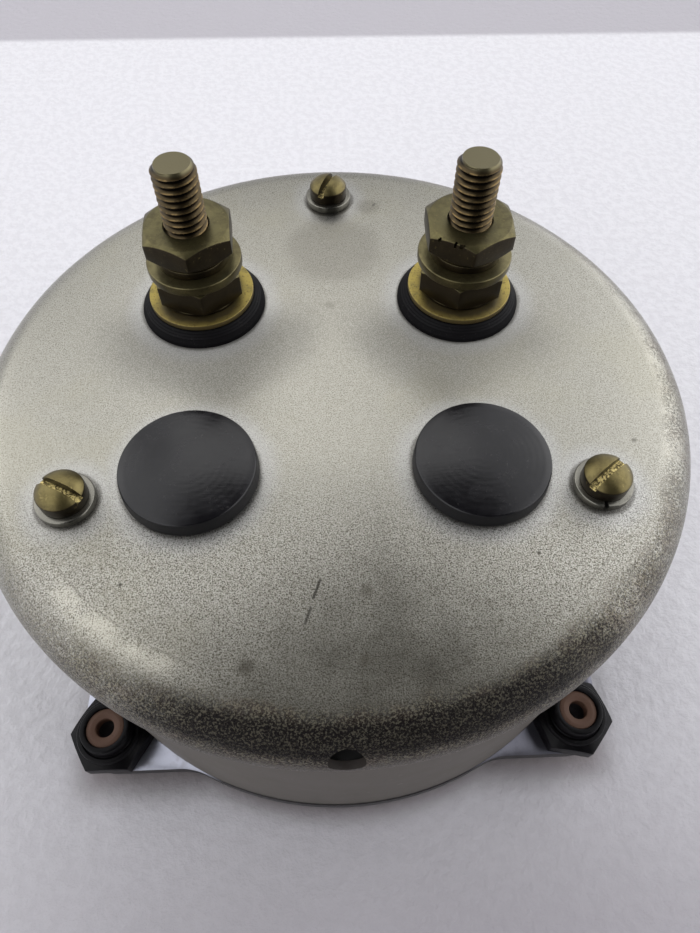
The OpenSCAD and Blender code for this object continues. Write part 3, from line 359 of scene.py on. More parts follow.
class Shape:
    """A mesh under construction, in millimetres, made of closed solids."""

    def __init__(self):
        self.mesh = bmesh.new()

    def add(self, solid):
        bmesh.ops.recalc_face_normals(solid, faces=solid.faces)
        data = bpy.data.meshes.new("solid")
        solid.to_mesh(data)
        solid.free()
        self.mesh.from_mesh(data)
        bpy.data.meshes.remove(data)
        return self

    def turn(self, corners, centre=(0.0, 0.0), closed=False, steps=RING_STEPS):
        """Spins a profile once round an upright axis."""
        solid = spun(eased(corners, closed), centre, steps, closed)
        bmesh.ops.remove_doubles(solid, verts=solid.verts, dist=1e-4)
        return self.add(solid)

    def washer(self, centre, inner, outer, low, high, ease):
        """A flat ring with eased edges."""
        corners = [(inner, low, ease), (outer, low, ease), (outer, high, ease), (inner, high, ease)]
        return self.turn(corners, centre, closed=True)

    def split_washer(self, centre, corners, gap_turn, gap, steps=64):
        """A ring with one cut through it."""
        middle = sum(r for r, *_ in corners) / len(corners)
        half_gap = gap / 2 / middle
        start = math.radians(gap_turn) + half_gap
        sweep = FULL_TURN - 2 * half_gap
        solid = spun(eased(corners, closed=True), centre, steps, True, start, sweep)
        close_ends(solid)
        return self.add(solid)

    def hexagon(self, centre, flats, low, high, turn, bore, low_end=True, crown=0.1, sink=0.35):
        """A nut: a turned ring whose outer rings are drawn in to the six flats."""
        face, start, far, sixth = flats / 2 - crown, math.radians(turn), 1000.0, math.pi / 3
        profile = [
            (bore, low + sink), (bore + sink, low), (face, low), (far, low),
            (far, high), (face, high), (bore + sink, high), (bore, high - sink),
        ]
        solid = spun(profile, centre, 72, True, start)
        for vert in solid.verts:
            out = vert.co.xy - Vector(centre)
            if out.length < far / 2:
                continue
            bearing = math.atan2(out.y, out.x) - start
            reach = flats / 2 / math.cos((bearing + 1e-7) % sixth - sixth / 2)
            drop = (reach - face) * math.tan(math.radians(30))
            vert.co.xy = Vector(centre) + out.normalized() * reach
            if vert.co.z > (low + high) / 2:
                vert.co.z = high - drop
            else:
                vert.co.z = low + (drop if low_end else 0)
        ease_edges(solid, 0.07, 22)
        return self.add(solid)

    def thread(self, centre, crest, depth, pitch, low, high, chamfer, steps):
        """A screw thread with flat ends, the upper one chamfered."""
        points = []
        for index in range(math.ceil((high - low) / pitch) + 3):
            foot = low + (index - 2) * pitch
            for share, sink in THREAD_PROFILE:
                points.append((crest - depth * sink, foot + share * pitch))
        solid = spun(points, centre, steps, climb=pitch)
        bmesh.ops.remove_doubles(solid, verts=solid.verts, dist=1e-3)
        for height, up in ((low, -1), (high, 1)):
            bmesh.ops.bisect_plane(
                solid,
                geom=solid.verts[:] + solid.edges[:] + solid.faces[:],
                plane_co=(0, 0, height),
                plane_no=(0, 0, up),
                clear_outer=True,
            )
        bmesh.ops.edgeloop_fill(solid, edges=[e for e in solid.edges if e.is_boundary])
        for vert in solid.verts:
            out = vert.co.xy - Vector(centre)
            limit = crest - max(0.0, vert.co.z - (high - chamfer))
            if out.length > limit:
                vert.co.xy = Vector(centre) + out * (limit / out.length)
        return self.add(solid)

    def block(self, centre, size, turn=0.0):
        solid = bmesh.new()
        bmesh.ops.create_cube(solid, size=1)
        bmesh.ops.scale(solid, vec=size, verts=solid.verts)
        bmesh.ops.rotate(solid, matrix=Matrix.Rotation(turn, 3, "Z"), verts=solid.verts)
        bmesh.ops.translate(solid, vec=centre, verts=solid.verts)
        return self.add(solid)

    def rod(self, centre, radius, low, high, axis="Z", steps=64):
        solid = bmesh.new()
        bmesh.ops.create_cone(
            solid, cap_ends=True, segments=steps, radius1=radius, radius2=radius, depth=high - low
        )
        bmesh.ops.translate(solid, vec=(0, 0, (low + high) / 2), verts=solid.verts)
        if axis == "Y":
            bmesh.ops.rotate(solid, matrix=Matrix.Rotation(math.pi / 2, 3, "X"), verts=solid.verts)
        bmesh.ops.translate(solid, vec=centre, verts=solid.verts)
        return self.add(solid)

    def cut(self, tool):
        """Takes the tool's solids out of this shape."""
        pair = []
        for shape in (self, tool):
            data = bpy.data.meshes.new("cut")
            shape.mesh.to_mesh(data)
            pair.append(bpy.data.objects.new("cut", data))
            bpy.context.collection.objects.link(pair[-1])
        body, knife = pair
        modifier = body.modifiers.new("Cut", "BOOLEAN")
        modifier.operation = "DIFFERENCE"
        modifier.solver = "EXACT"
        modifier.object = knife
        graph = bpy.context.evaluated_depsgraph_get()
        result = bpy.data.meshes.new_from_object(body.evaluated_get(graph))
        self.mesh.clear()
        self.mesh.from_mesh(result)
        for thing in pair:
            data = thing.data
            bpy.data.objects.remove(thing)
            bpy.data.meshes.remove(data)
        bpy.data.meshes.remove(result)
        tool.mesh.free()

    def make(self, name, finishes, node, slot, body="housing", sharp=32):
        """Turns the shape into a piece that rides on a body and stands for a CAD node, or none."""
        bmesh.ops.scale(self.mesh, vec=(MM, MM, MM), verts=self.mesh.verts)
        data = bpy.data.meshes.new(name)
        self.mesh.to_mesh(data)
        self.mesh.free()
        stands_for = [node] if node else []
        return finish_piece(name, data, finishes, stands_for, body, sharp)


def finish_piece(name, data, finishes, stands_for, body, sharp):
    """Shades a mesh, gives it its finishes and ties it to the frame."""
    data.shade_smooth()
    data.set_sharp_from_angle(angle=math.radians(sharp))
    for finish in finishes:
        data.materials.append(finish)
    piece = bpy.data.objects.new(name, data)
    bpy.context.collection.objects.link(piece)
    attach(piece, body)
    if stands_for:
        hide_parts(*stands_for)
    return piece


def eased_copy(node, name, finish, width, body="housing", sharp=32):
    """A copy of a CAD node with its triangles joined and its sharp edges rounded."""
    solid = bmesh.new()
    solid.from_mesh(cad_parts[node].data)
    bmesh.ops.remove_doubles(solid, verts=solid.verts, dist=1e-6)
    flat = math.radians(0.4)
    bmesh.ops.dissolve_limit(solid, angle_limit=flat, verts=solid.verts, edges=solid.edges)
    ease_edges(solid, width * MM, sharp)
    for layer in list(solid.loops.layers.float_vector.values()):
        solid.loops.layers.float_vector.remove(layer)
    data = bpy.data.meshes.new(name)
    solid.to_mesh(data)
    solid.free()
    for attribute in [a for a in data.attributes if a.name == "custom_normal"]:
        data.attributes.remove(attribute)
    return finish_piece(name, data, [finish], [node], body, sharp)


def dress(node, finish):
    """Gives a CAD node its finish."""
    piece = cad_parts[node]
    for slot in piece.material_slots:
        slot.link = "OBJECT"
        slot.material = finish
    if not piece.material_slots:
        piece.data.materials.append(finish)


# Places and shapes, in millimetres and degrees

COVER_LOW, COVER_HIGH = reach_of("rear_cover")
COVER_R, REAR_Z, LIP_Z = COVER_HIGH.x, COVER_HIGH.z, COVER_LOW.z
FLANGE_Z = 5.6
CASE_R = 41.15
BUSH_R = 7.5
PLUG_R = 7.3
HOLE_R = 5.5
NECK_R = 5.2
WASHER_BORE = 2.5
NUT_BORE = 2.45
STUD_R = 2.41
# Share of the pitch, and share of the depth below the crest
THREAD_PROFILE = ((0.0, 1.0), (0.14, 1.0), (0.5, 0.08), (0.54, 0.0), (0.6, 0.0), (0.64, 0.08))
# How far the plug's dome has dropped at every step out from its middle
PLUG_DOME = (0.0, 0.008, 0.032, 0.073, 0.13, 0.203, 0.292, 0.397)
PLUG_DOME_STEP = 0.9
VENT_SPOT = (0.2, 2.0 - COVER_R, 40.0)
SCREW_CIRCLE = 32.1
SCREW_R = 2.5
SPLIT_WASHER_R = 3.08
SCREW_SEAT_R = 3.2
SCREW_CENTRES = [
    (SCREW_CIRCLE * math.cos(math.radians(a)), SCREW_CIRCLE * math.sin(math.radians(a)))
    for a in (90, 210, 330)
]
SLOT_TURNS = (65, 153, 38)
SPLIT_TURNS = (80, 75, 262)
# Centre, inner and outer radius, share and tone
COVER_STAINS = (
    ((0.6, 21.6), 4.5, 7.6, 0.3, 98),
    ((5.4, 30.4), 0.6, 2.4, 0.4, 98),
    ((-8.6, -33.9), 0.3, 1.1, 0.6, 48),
    ((2.1, -33.63), 0.2, 0.8, 0.5, 60),
    ((2.51, -26.87), 0.2, 0.9, 0.5, 60),
    ((-0.18, 11.37), 0.2, 0.9, 0.35, 98),
    ((32.71, -10.37), 0.1, 0.5, 0.6, 60),
    ((-21.05, -25.51), 0.08, 0.3, 0.8, 40),
    ((19.8, -23.57), 0.08, 0.3, 0.8, 40),
)
# Start, end, width and share
COVER_SCRATCHES = (
    ((-1.8, -25.48), (-2.6, -27.7), 0.2, 0.85),
    ((-2.7, -28.3), (-3.4, -30.2), 0.22, 0.75),
    ((6.1, 30.5), (6.6, 31.2), 0.2, 0.5),
)
MOUNT_CENTRES = [(31.43 * i, 31.43 * j) for i, j in ((-1, -1), (1, -1), (1, 1), (-1, 1))]
MOUNT_TURNS = (0, 49, 12, 48)
MOUNT_BORE = 1.35
MOUNT_NUT_HEIGHT = 3.5
UPPER_TURNS = {"left": 34, "right": 30}
LOWER_TURNS = {"left": 40, "right": 20}
# Place, size and turn of the nicks in the right upper nut
NUT_NICKS = (
    ((12.05, 8.86), (0.34, 0.3, 0.5), 12),
    ((13.72, 7.93), (0.3, 0.34, 0.7), -50),
    ((14.35, 7.55), (0.6, 0.24, 0.5), -18),
)
PLAIN_WEAR = (96, 94, 92)
# Name, colour, roughness, metal, wear, and the CAD nodes inside the case that it covers
MOVEMENT_FINISHES = (
    ("machined_brass", (196, 168, 98), 0.32, 0.9, (120, 96, 50), (
        "movement_frame", "front_bearing", "core_supports", "rear_bridge", "jewel_screw",
        "jewel_lock_nut", "cover_pillars",
    )),
    ("plated_steel", (168, 168, 164), 0.34, 0.9, (110, 108, 104), (
        "frame_screws", "front_staff", "shoe_screws", "rear_pivot", "bridge_screws",
        "resistor_screw",
    )),
    ("hairspring_bronze", (176, 148, 104), 0.3, 0.9, PLAIN_WEAR, (
        "front_hairspring", "rear_hairspring",
    )),
    ("soft_iron", (120, 120, 124), 0.45, 0.8, PLAIN_WEAR, (
        "core", "pole_shoe_left", "pole_shoe_right",
    )),
    ("magnet_steel", (78, 78, 84), 0.5, 0.6, (120, 112, 100), ("magnet",)),
    ("fibre_board", (92, 62, 40), 0.6, 0.0, PLAIN_WEAR, (
        "resistor_bobbin", "insulator_left", "insulator_right",
    )),
    ("tinned_brass", (196, 190, 166), 0.34, 0.85, PLAIN_WEAR, ("lug_left", "lug_right")),
    ("bare_aluminium", (196, 197, 200), 0.34, 0.9, PLAIN_WEAR, ("coil_former",)),
)


# Finishes


def cover_paint(colours):
    """Speckled aluminium-grey paint, rubbed light at the lip and dirty along the front, with
    painted shade over the front, a painted dark reflection on the front of the edge and a painted
    highlight at the front left.
    """
    f = Finish("cover_paint")
    forward, out = -f.y, f.away(0.0, 0.0)
    grain = f.noise(7.0, detail=3, rough=0.65)
    patch = f.noise(0.22, detail=4, rough=0.6)
    ragged = patch - 0.5
    wide = f.noise(0.06, detail=2)
    front = f.fade(-(f.y / (out + 0.1)), 0.1, 0.9)
    leftward = f.fade(-f.x, 10.0, 20.0)
    rim = f.fade(out + ragged * 3.0 - leftward * 1.2, 37.0, 40.0)

    f.base = f.blend(f.fade(grain, 0.35, 0.65), colours.cover_dark, colours.cover_light)
    f.coat(0.6 - 0.5 * f.fade(forward, 12.0, 24.0), colours.cover_mid)
    f.coat(f.fade(wide + ragged * 0.4, 0.5, 0.7) * 0.18, 150, 146, 126)
    # Painted shade over the front of the cover, partly dirt
    front_shade_and_soil = f.fade(forward - abs(f.x - 4.5) * 0.52, 11.5, 34.5)
    f.coat(front_shade_and_soil * (0.62 + 0.4 * patch), 46, 44, 38)

    # Round what stands on the cover: a light ring, and painted shade in a dark line where it sits
    spots = [(centre_of(f"plug_{side}"), PLUG_R) for side in SIDES]
    spots += [(centre_of(f"stud_{side}"), BUSH_R) for side in SIDES]
    spots += [(centre, SCREW_SEAT_R) for centre in SCREW_CENTRES]
    halo = seat = 0.0
    for centre, radius in spots:
        apart = f.away(*centre) + ragged * 0.8
        halo = f.larger(halo, 1.0 - f.fade(apart, radius + 0.4, radius + 3.0))
        seat = f.larger(seat, 1.0 - f.fade(apart, radius + 0.05, radius + 0.5))
    f.coat(halo * 0.25, 180, 182, 188)

    # A painted highlight at the front left, where the edge starts to curve
    rub = (1.0 - f.fade(abs(out - 37.2), 0.2, 2.0)) * f.fade(forward, 20.0, 29.0) * leftward
    rub = rub * f.fade(patch + (grain - 0.5) * 0.8, 0.3, 0.7)
    f.coat(rub * 0.42, 222, 218, 204)
    # Painted shade: a thin dark line round the foot of each part
    f.coat(seat * 0.6, 60, 56, 50)

    # Stains, scratches and the fine line inside the rim
    for centre, inner, outer, share, tone in COVER_STAINS:
        apart = f.away(*centre) + ragged * 3.0 * min(1.0, outer / 4)
        f.coat((1.0 - f.fade(apart, inner, outer)) * share, tone, tone - 4, tone - 12)
    for start, end, width, share in COVER_SCRATCHES:
        f.coat(f.stroke(start, end, width) * share, 48, 46, 42)
    line = (1.0 - f.fade(abs(out + ragged * 0.3 - 36.1), 0.04, 0.16)) * front
    f.coat(line * f.fade(patch, 0.35, 0.6) * 0.3, 58, 54, 48)

    # Specks of dirt and of bare paint along the rim
    shifted = f.vector("ADD", f.place, (31.0, 7.0, 3.0))
    blotch = f.fade(f.noise(0.45, detail=4, rough=0.65, spot=shifted), 0.42, 0.62)
    fleck = f.noise(3.8, detail=4, rough=0.75) + (front - 0.5) * 0.08 + ragged * 0.3
    speck = f.fade(fleck, 0.48, 0.55)
    worn = f.fade(f.noise(4.6, detail=3, rough=0.7, spot=shifted), 0.51, 0.56)
    reach = f.larger(front * f.fade(f.x, -40.0, -16.0), f.fade(f.x, 15.0, 40.0) * 0.5)
    dirt = rim * (0.12 + 0.88 * reach)
    f.coat(blotch * dirt * 0.5, 84, 64, 52)
    f.coat(speck * dirt * 0.95, colours.cover_grime)
    f.coat(worn * rim * (0.1 + 0.4 * front), 176, 170, 146)

    # A painted dark reflection on the front of the edge, partly dirt, then the side below it and
    # the bare lip
    dark_reflection_and_dirt = f.fade(-f.z, -REAR_Z - 0.1, 0.7 - REAR_Z) * f.fade(f.z + patch, 40.6, 41.6)
    ahead = forward - abs(f.x) * 0.4 + f.x * 0.16
    dark_reflection_and_dirt = dark_reflection_and_dirt * f.fade(ahead + patch * 6.0, 24.0, 35.0)
    f.coat(dark_reflection_and_dirt * (0.98 - 0.26 * worn), 16, 12, 12)
    f.coat((1.0 - f.fade(f.z, LIP_Z + 1.4, LIP_Z + 3.4)) * 0.45, 84, 78, 66)
    f.coat((1.0 - f.fade(f.z, LIP_Z + 0.1, LIP_Z + 0.4)) * 0.7, 184, 176, 140)

    # Dull in front of the terminals
    left, right = (f.away(*centre_of(f"stud_{side}")) for side in SIDES)
    nearest = f.node("Math", {0: left, 1: right}, operation="MINIMUM")
    chalky = (1.0 - f.fade(nearest + ragged * 4.0, 8.5, 18.0)) * f.fade(f.y, 14.0, 4.0)
    rough = 0.25 + 0.06 * grain + 0.1 * dirt * speck + 0.35 * chalky
    metal = 0.95 - 0.12 * dirt - 0.5 * chalky
    relief = 0.7 + 2.0 * f.fade(forward, 10.0, 24.0)
    return f.surface(rough, metal, ((grain * relief, 0.03), (speck * rim, 0.03)))


def moulded_black(name, centre, tone, rough, gloss):
    """Black moulded phenolic with faint turning rings and dust."""
    f = Finish(name)
    rings = f.node("Math", {0: f.away(*centre) * 9.0}, operation="SINE")
    smudge = f.noise(0.5, detail=4, rough=0.6, twist=0.6)
    dust = f.fade(f.noise(4.0, detail=2), 0.6, 0.72) * f.fade(smudge, 0.42, 0.62)
    streak = f.noise(1.4, detail=3, spot=f.vector("MULTIPLY", f.place, (0.35, 2.2, 1.0)))
    f.base = f.blend(f.fade(smudge, 0.4, 0.75) * 0.5, tone, [2.4 * c for c in tone])
    f.coat(dust * 0.15, 90, 88, 84)
    upright = 1.0 - f.fade(f.facing, 0.3, 0.8)
    rough = rough + 0.2 * smudge + 0.12 * streak + 0.35 * upright
    bumps = ((rings, 0.001), (streak, 0.006), (smudge, 0.01))
    return f.surface(rough, 0.0, bumps, Specular_IOR_Level=gloss)


def tarnished(colours, name, bright=0.15, top=None, side=None):
    """Tarnished brass, olive where it faces up and is handled and brown-black on its sides: partly
    tarnish, partly painted light on the tops and painted shade on the sides.
    """
    top, side = top or colours.brass_olive, side or colours.brass_brown
    f = Finish(name)
    patch = f.noise(0.7, detail=4, rough=0.65)
    grain = f.noise(5.0, detail=3)
    mottle = f.fade(patch + (grain - 0.5) * 0.3, 0.35, 0.75)
    upper = f.blend(mottle * 0.5, top, colours.brass_brown)
    sides = f.blend(mottle * 0.5, side, linear(34, 28, 22))
    # Painted light and shade: lighter where it faces up, darker on the sides, partly tarnish
    f.base = f.blend(f.fade(f.facing, 0.3, 0.85), sides, upper)
    shifted = f.vector("ADD", f.place, (3.0, 9.0, 5.0))
    scrape = f.fade(f.noise(2.2, detail=4, rough=0.7, spot=shifted), 0.6, 0.72)
    f.coat(scrape * bright, colours.brass_bright)
    return f.surface(0.28 + 0.12 * patch + 0.06 * grain, 0.92, ((grain, 0.006), (patch, 0.02)))


def thread_brass(colours, name, centre, depth):
    """Tarnished brass, lighter on the thread's crests, partly rubbed and partly a painted
    highlight, and darker in its roots, partly dirt and partly painted shade.
    """
    f = Finish(name)
    out = f.away(*centre)
    patch = f.noise(0.9, detail=4, rough=0.65)
    grain = f.noise(5.0, detail=3)
    high = f.fade(out + (patch - 0.5) * 0.14, STUD_R - 0.16, STUD_R - 0.02)
    low = 1.0 - f.fade(out, STUD_R - depth + 0.04, STUD_R - 0.2)
    top = f.fade(f.z, REAR_Z + 18.85, REAR_Z + 19.15)
    f.base = f.blend(f.fade(patch, 0.4, 0.7) * 0.5, linear(68, 58, 40), colours.brass_brown)
    # Painted highlight on the crests, partly rubbed brass
    f.coat(high * f.fade(patch, 0.4, 0.6) * 0.4, 160, 134, 88)
    # Painted shade in the roots, partly dirt
    f.coat(low * (1.0 - top) * 0.95, 22, 17, 13)
    f.coat(top, 104, 98, 74)
    return f.surface(0.28 + 0.12 * patch, 0.92, ((grain, 0.006),))


def washer_brass(colours, name, centre):
    """Yellow brass washer, darker towards the nut and the front and on its sides, partly dirt and
    partly painted shade, and dotted with tarnish.
    """
    f = Finish(name)
    patch = f.noise(0.8, detail=4, rough=0.6)
    spot = f.fade(f.noise(3.2, detail=3, rough=0.7), 0.56, 0.64)
    tarnish = f.fade(patch, 0.45, 0.7) * 0.5
    f.base = f.blend(tarnish, colours.brass_yellow, colours.brass_olive)
    # Darker in front of the nut and round it: painted shade, partly dirt
    ahead = f.fade(centre[1] - f.y, 0.5, 4.5)
    inner = 1.0 - f.fade(f.away(*centre) + (patch - 0.5) * 1.4 - 0.9 * ahead, 4.3, 5.5)
    f.coat(ahead * 0.5, 92, 78, 42)
    f.coat(inner * 0.85, colours.brass_brown)
    # Painted shade on the sides
    f.coat(1.0 - f.fade(f.facing, 0.3, 0.8), 92, 80, 48)
    f.coat(spot * 0.6, 84, 66, 34)
    return f.surface(0.4 + 0.2 * patch, 0.6, ((f.noise(5.0, detail=3), 0.008),))


def scraped_slot(colours):
    """Brass scraped bright by a screwdriver."""
    f = Finish("scraped_slot")
    grain = f.noise(4.0, detail=4, rough=0.7)
    f.base = f.blend(f.fade(grain, 0.42, 0.56), colours.brass_bright, linear(74, 64, 36))
    return f.surface(0.3 + 0.2 * grain, 0.8, ((grain, 0.05),))


def blackened(colours, name):
    """Black oxide on steel, greyer where it is rubbed."""
    f = Finish(name)
    patch = f.noise(0.8, detail=4, rough=0.6)
    grain = f.noise(5.0, detail=2)
    rub = f.fade(f.noise(1.6, detail=4, rough=0.7), 0.55, 0.7)
    f.base = f.blend(rub * 0.12, colours.black_steel, linear(84, 80, 80))
    bumps = ((grain, 0.008), (patch, 0.02))
    return f.surface(0.28 + 0.25 * patch, 0.0, bumps, Specular_IOR_Level=0.12)


def painted_case(colours):
    """Smooth grey-olive paint on the case, with ears of bare bright metal, and painted shade at the
    wall's foot, on the flange and its edge, on the right ear and under the cover.
    """
    f = Finish("case_paint")
    patch = f.noise(0.12, detail=4, rough=0.6)
    grain = f.noise(3.2, detail=2)
    streak = f.noise(0.5, detail=3, spot=f.vector("MULTIPLY", f.place, (1.0, 1.0, 0.12)))
    chip = f.fade(f.noise(0.9, detail=4, rough=0.7), 0.66, 0.7)
    f.base = f.blend(f.fade(patch, 0.35, 0.7) * 0.4, colours.case_grey, linear(96, 91, 80))
    f.coat(f.fade(streak, 0.5, 0.75) * 0.3, 80, 75, 68)
    # Painted shade at the foot of the wall, where it meets the flange
    f.coat((1.0 - f.fade(f.z, FLANGE_Z + 0.2, FLANGE_Z + 1.4)) * 0.6, 52, 48, 42)
    f.coat(chip * 0.3, 176, 174, 166)
    # Painted shade: the flange and its edge dark, as in shadow; the ears' faces are painted over
    # below
    flange = 1.0 - f.fade(f.z, FLANGE_Z + 0.05, FLANGE_Z + 0.15)
    f.coat(flange, 30, 27, 28)
    dull = f.fade(f.noise(0.45, detail=4, rough=0.65), 0.5, 0.75) * 0.5
    bare = f.blend(dull, linear(168, 170, 182), linear(118, 116, 118))
    # Painted shade: the ear on the right darker than the one on the left
    bare = f.blend(f.fade(f.x, 0.0, 20.0) * 0.75, bare, linear(78, 76, 84))
    bright = flange * f.fade(abs(f.x), 16.0, 20.0) * f.fade(f.facing, 0.8, 0.97)
    f.coat(bright, bare)
    # Painted shade: the wall under the cover near black, seen through the vent
    f.coat(f.fade(f.z, LIP_Z + 0.5, LIP_Z + 0.9), 14, 12, 11)
    rough = 0.42 + 0.14 * patch - 0.12 * bright
    metal = 0.3 * (1.0 - flange) + 0.75 * bright
    return f.surface(rough, metal, ((grain, 0.01), (patch, 0.05)))


def enamelled(name, base, rough=0.4, metal=0.0, worn=PLAIN_WEAR, share=0.2):
    """Plain enamel, metal or plastic with fine grain and faint wear."""
    f = Finish(name)
    patch = f.noise(0.35, detail=4, rough=0.6)
    grain = f.noise(4.5, detail=2)
    rub = f.fade(f.noise(1.3, detail=4, rough=0.7), 0.58, 0.72)
    f.base = f.blend(f.fade(patch, 0.4, 0.7) * 0.25, base, [0.6 * c for c in base])
    f.coat(rub * share, *worn)
    return f.surface(rough + 0.15 * (patch - 0.5), metal, ((grain, 0.006),))


def wound_wire(name, base, per_mm=4.0):
    """Fine wire wound side by side: ridges along the height."""
    f = Finish(name)
    ridge = f.node("Math", {0: f.z * (per_mm * FULL_TURN)}, operation="SINE")
    patch = f.noise(0.9, detail=3)
    f.base = f.blend(f.fade(ridge, -0.9, 0.6), [0.35 * c for c in base], base)
    f.coat(f.fade(patch, 0.45, 0.7) * 0.3, [0.55 * c for c in base])
    return f.surface(0.3 + 0.2 * patch, 0.6, ((ridge, 0.04),))


def braided(name, base):
    """Braided cloth sleeving."""
    f = Finish(name)
    strand = f.node("TexVoronoi", {"Vector": f.place, "Scale": 3.2, "Randomness": 1.0})
    f.base = f.blend(f.fade(strand, 0.1, 0.6), base, [0.4 * c for c in base])
    return f.surface(0.75 + 0.15 * f.noise(0.8, detail=3), 0.0, ((strand, 0.05),))


def window_glass():
    """Clear glass with a trace of dust."""
    f = Finish("window_glass")
    f.base = (0.93, 0.96, 0.96)
    smear = f.fade(f.noise(0.12, detail=4), 0.5, 0.8)
    return f.surface(0.02 + 0.05 * smear, Transmission_Weight=1.0, IOR=1.5)


# Operators


class Builder:
    """What every operator of the gauge shares."""

    bl_options = {"REGISTER", "UNDO"}

    def execute(self, context):
        self.build(context.scene.gauge_sizes, context.scene.gauge_colours)
        return {"FINISHED"}


class GAUGE_OT_cover(Builder, bpy.types.Operator):
    """Spins the rear cover and cuts its vent and its holes"""

    bl_idname = "gauge.cover"
    bl_label = "Rear cover"

    def build(self, sizes, colours):
        sheet, edge, vent_r = sizes.cover_sheet / MM, sizes.cover_edge / MM, sizes.vent / MM / 2
        inner, under = COVER_R - sheet, REAR_Z - sheet
        corners = [
            (0.0, REAR_Z), (16.0, REAR_Z), (30.0, REAR_Z), (COVER_R, REAR_Z, edge),
            (COVER_R, LIP_Z, 0.25), (inner, LIP_Z, 0.15), (inner, under, edge - sheet),
            (30.0, under), (16.0, under), (0.0, under),
        ]
        shell, holes = Shape().turn(corners, steps=256), Shape()
        holes.rod(VENT_SPOT, vent_r, -3.0, 3.5, axis="Y", steps=48)
        for centre in SCREW_CENTRES:
            holes.rod((*centre, REAR_Z), 1.6, -2.0, 1.0)
        for side in SIDES:
            for node in (f"stud_{side}", f"plug_{side}"):
                holes.rod((*centre_of(node), REAR_Z), HOLE_R, -2.0, 1.0)
        shell.cut(holes)
        # Painted shade: the vent's bore gets a dark finish
        for face in shell.mesh.faces:
            spot = face.calc_center_median()
            off_axis = math.hypot(spot.x - VENT_SPOT[0], spot.z - VENT_SPOT[2])
            if spot.y < -30 and off_axis < vent_r:
                face.material_index = 1
        finishes = [cover_paint(colours), enamelled("vent_shade", linear(40, 33, 28), 0.7)]
        shell.make("cover", finishes, "rear_cover", "cover_paint")


class GAUGE_OT_case(Builder, bpy.types.Operator):
    """Dresses the case, its flange and the bezel"""

    bl_idname = "gauge.case"
    bl_label = "Case and bezel"

    def build(self, sizes, colours):
        case = eased_copy("case", "case_shell", painted_case(colours), 0.25)
        self.round_wall(case.data)
        black = enamelled("black_enamel", linear(24, 24, 26), 0.38)
        eased_copy("bezel", "bezel_ring", black, 0.15)

    def round_wall(self, data):
        """Shades the case's wall as the cylinder it is, past the pockets for the nuts."""
        normals = []
        for polygon in data.polygons:
            upright = abs(polygon.normal.z) < 0.02
            for index in polygon.loop_indices:
                out = data.vertices[data.loops[index].vertex_index].co.xy
                on_wall = upright and abs(out.length / MM - CASE_R) < 0.05
                normals.append((*out.normalized(), 0.0) if on_wall else (0.0, 0.0, 0.0))
        data.normals_split_custom_set(normals)


class GAUGE_OT_glass(Builder, bpy.types.Operator):
    """Dresses the window, its seal and the rings round it"""

    bl_idname = "gauge.glass"
    bl_label = "Window"

    def build(self, sizes, colours):
        eased_copy("glass", "window", window_glass(), 0.15)
        matt = enamelled("matt_black", linear(20, 20, 20), 0.8)
        eased_copy("spacer_ring", "dial_spacer", matt, 0.08)
        dress("glass_seal", enamelled("seal_rubber", linear(24, 24, 24), 0.75))
        dress("glass_ring", enamelled("spring_steel", linear(130, 130, 136), 0.35, 0.9))


class GAUGE_OT_cover_screws(Builder, bpy.types.Operator):
    """Turns the cover screws, saws their slots and adds their split washers"""

    bl_idname = "gauge.cover_screws"
    bl_label = "Cover screws"

    def build(self, sizes, colours):
        low, high = reach_of("cover_screws")
        washer_low, washer_high = reach_of("cover_lock_washers")
        seat, top = washer_high.z, high.z
        depth, width = sizes.slot_depth / MM, sizes.slot_width / MM
        screw = [
            (0.0, top), (0.6, top - 0.02), (1.1, top - 0.1), (1.6, top - 0.25),
            (2.0, top - 0.46), (SCREW_R, top - 0.95, 0.25), (SCREW_R, seat, 0.15),
            (1.45, seat), (1.45, low.z, 0.3), (0.0, low.z),
        ]
        washer = [
            (1.55, washer_low.z, 0.1), (SPLIT_WASHER_R, washer_low.z, 0.12),
            (SPLIT_WASHER_R, seat, 0.12), (1.55, seat, 0.1),
        ]
        screws, slots, washers = Shape(), Shape(), Shape()
        for centre, turn, split in zip(SCREW_CENTRES, SLOT_TURNS, SPLIT_TURNS):
            screws.turn(screw, centre, steps=72)
            slots.block((*centre, top + 2 - depth), (7, width, 4), math.radians(turn))
            washers.split_washer(centre, washer, split, 0.35)
        screws.cut(slots)
        self.mark_slots(screws.mesh, top - depth, width / 2 + 0.02)
        # A lighter top: painted light, partly tarnish
        brass = tarnished(colours, "screw_brass", bright=0.3, top=linear(112, 102, 66))
        screws.make("screws", [brass, scraped_slot(colours)], "cover_screws", "screw_brass")
        tin = enamelled("tinned_steel", linear(120, 118, 110), 0.26, 0.95, (44, 41, 34), 0.7)
        washers.make("split_washers", [tin], "cover_lock_washers", "tinned_steel")

    def mark_slots(self, mesh, floor, half):
        """Gives the slots' floors the second finish."""
        for face in mesh.faces:
            spot = face.calc_center_median()
            if spot.z < floor - 0.05 or face.normal.z < 0.9:
                continue
            for centre, turn in zip(SCREW_CENTRES, SLOT_TURNS):
                out = spot.xy - Vector(centre)
                side = Vector((-math.sin(math.radians(turn)), math.cos(math.radians(turn))))
                if out.length < 3 and abs(out.dot(side)) < half:
                    face.material_index = 1


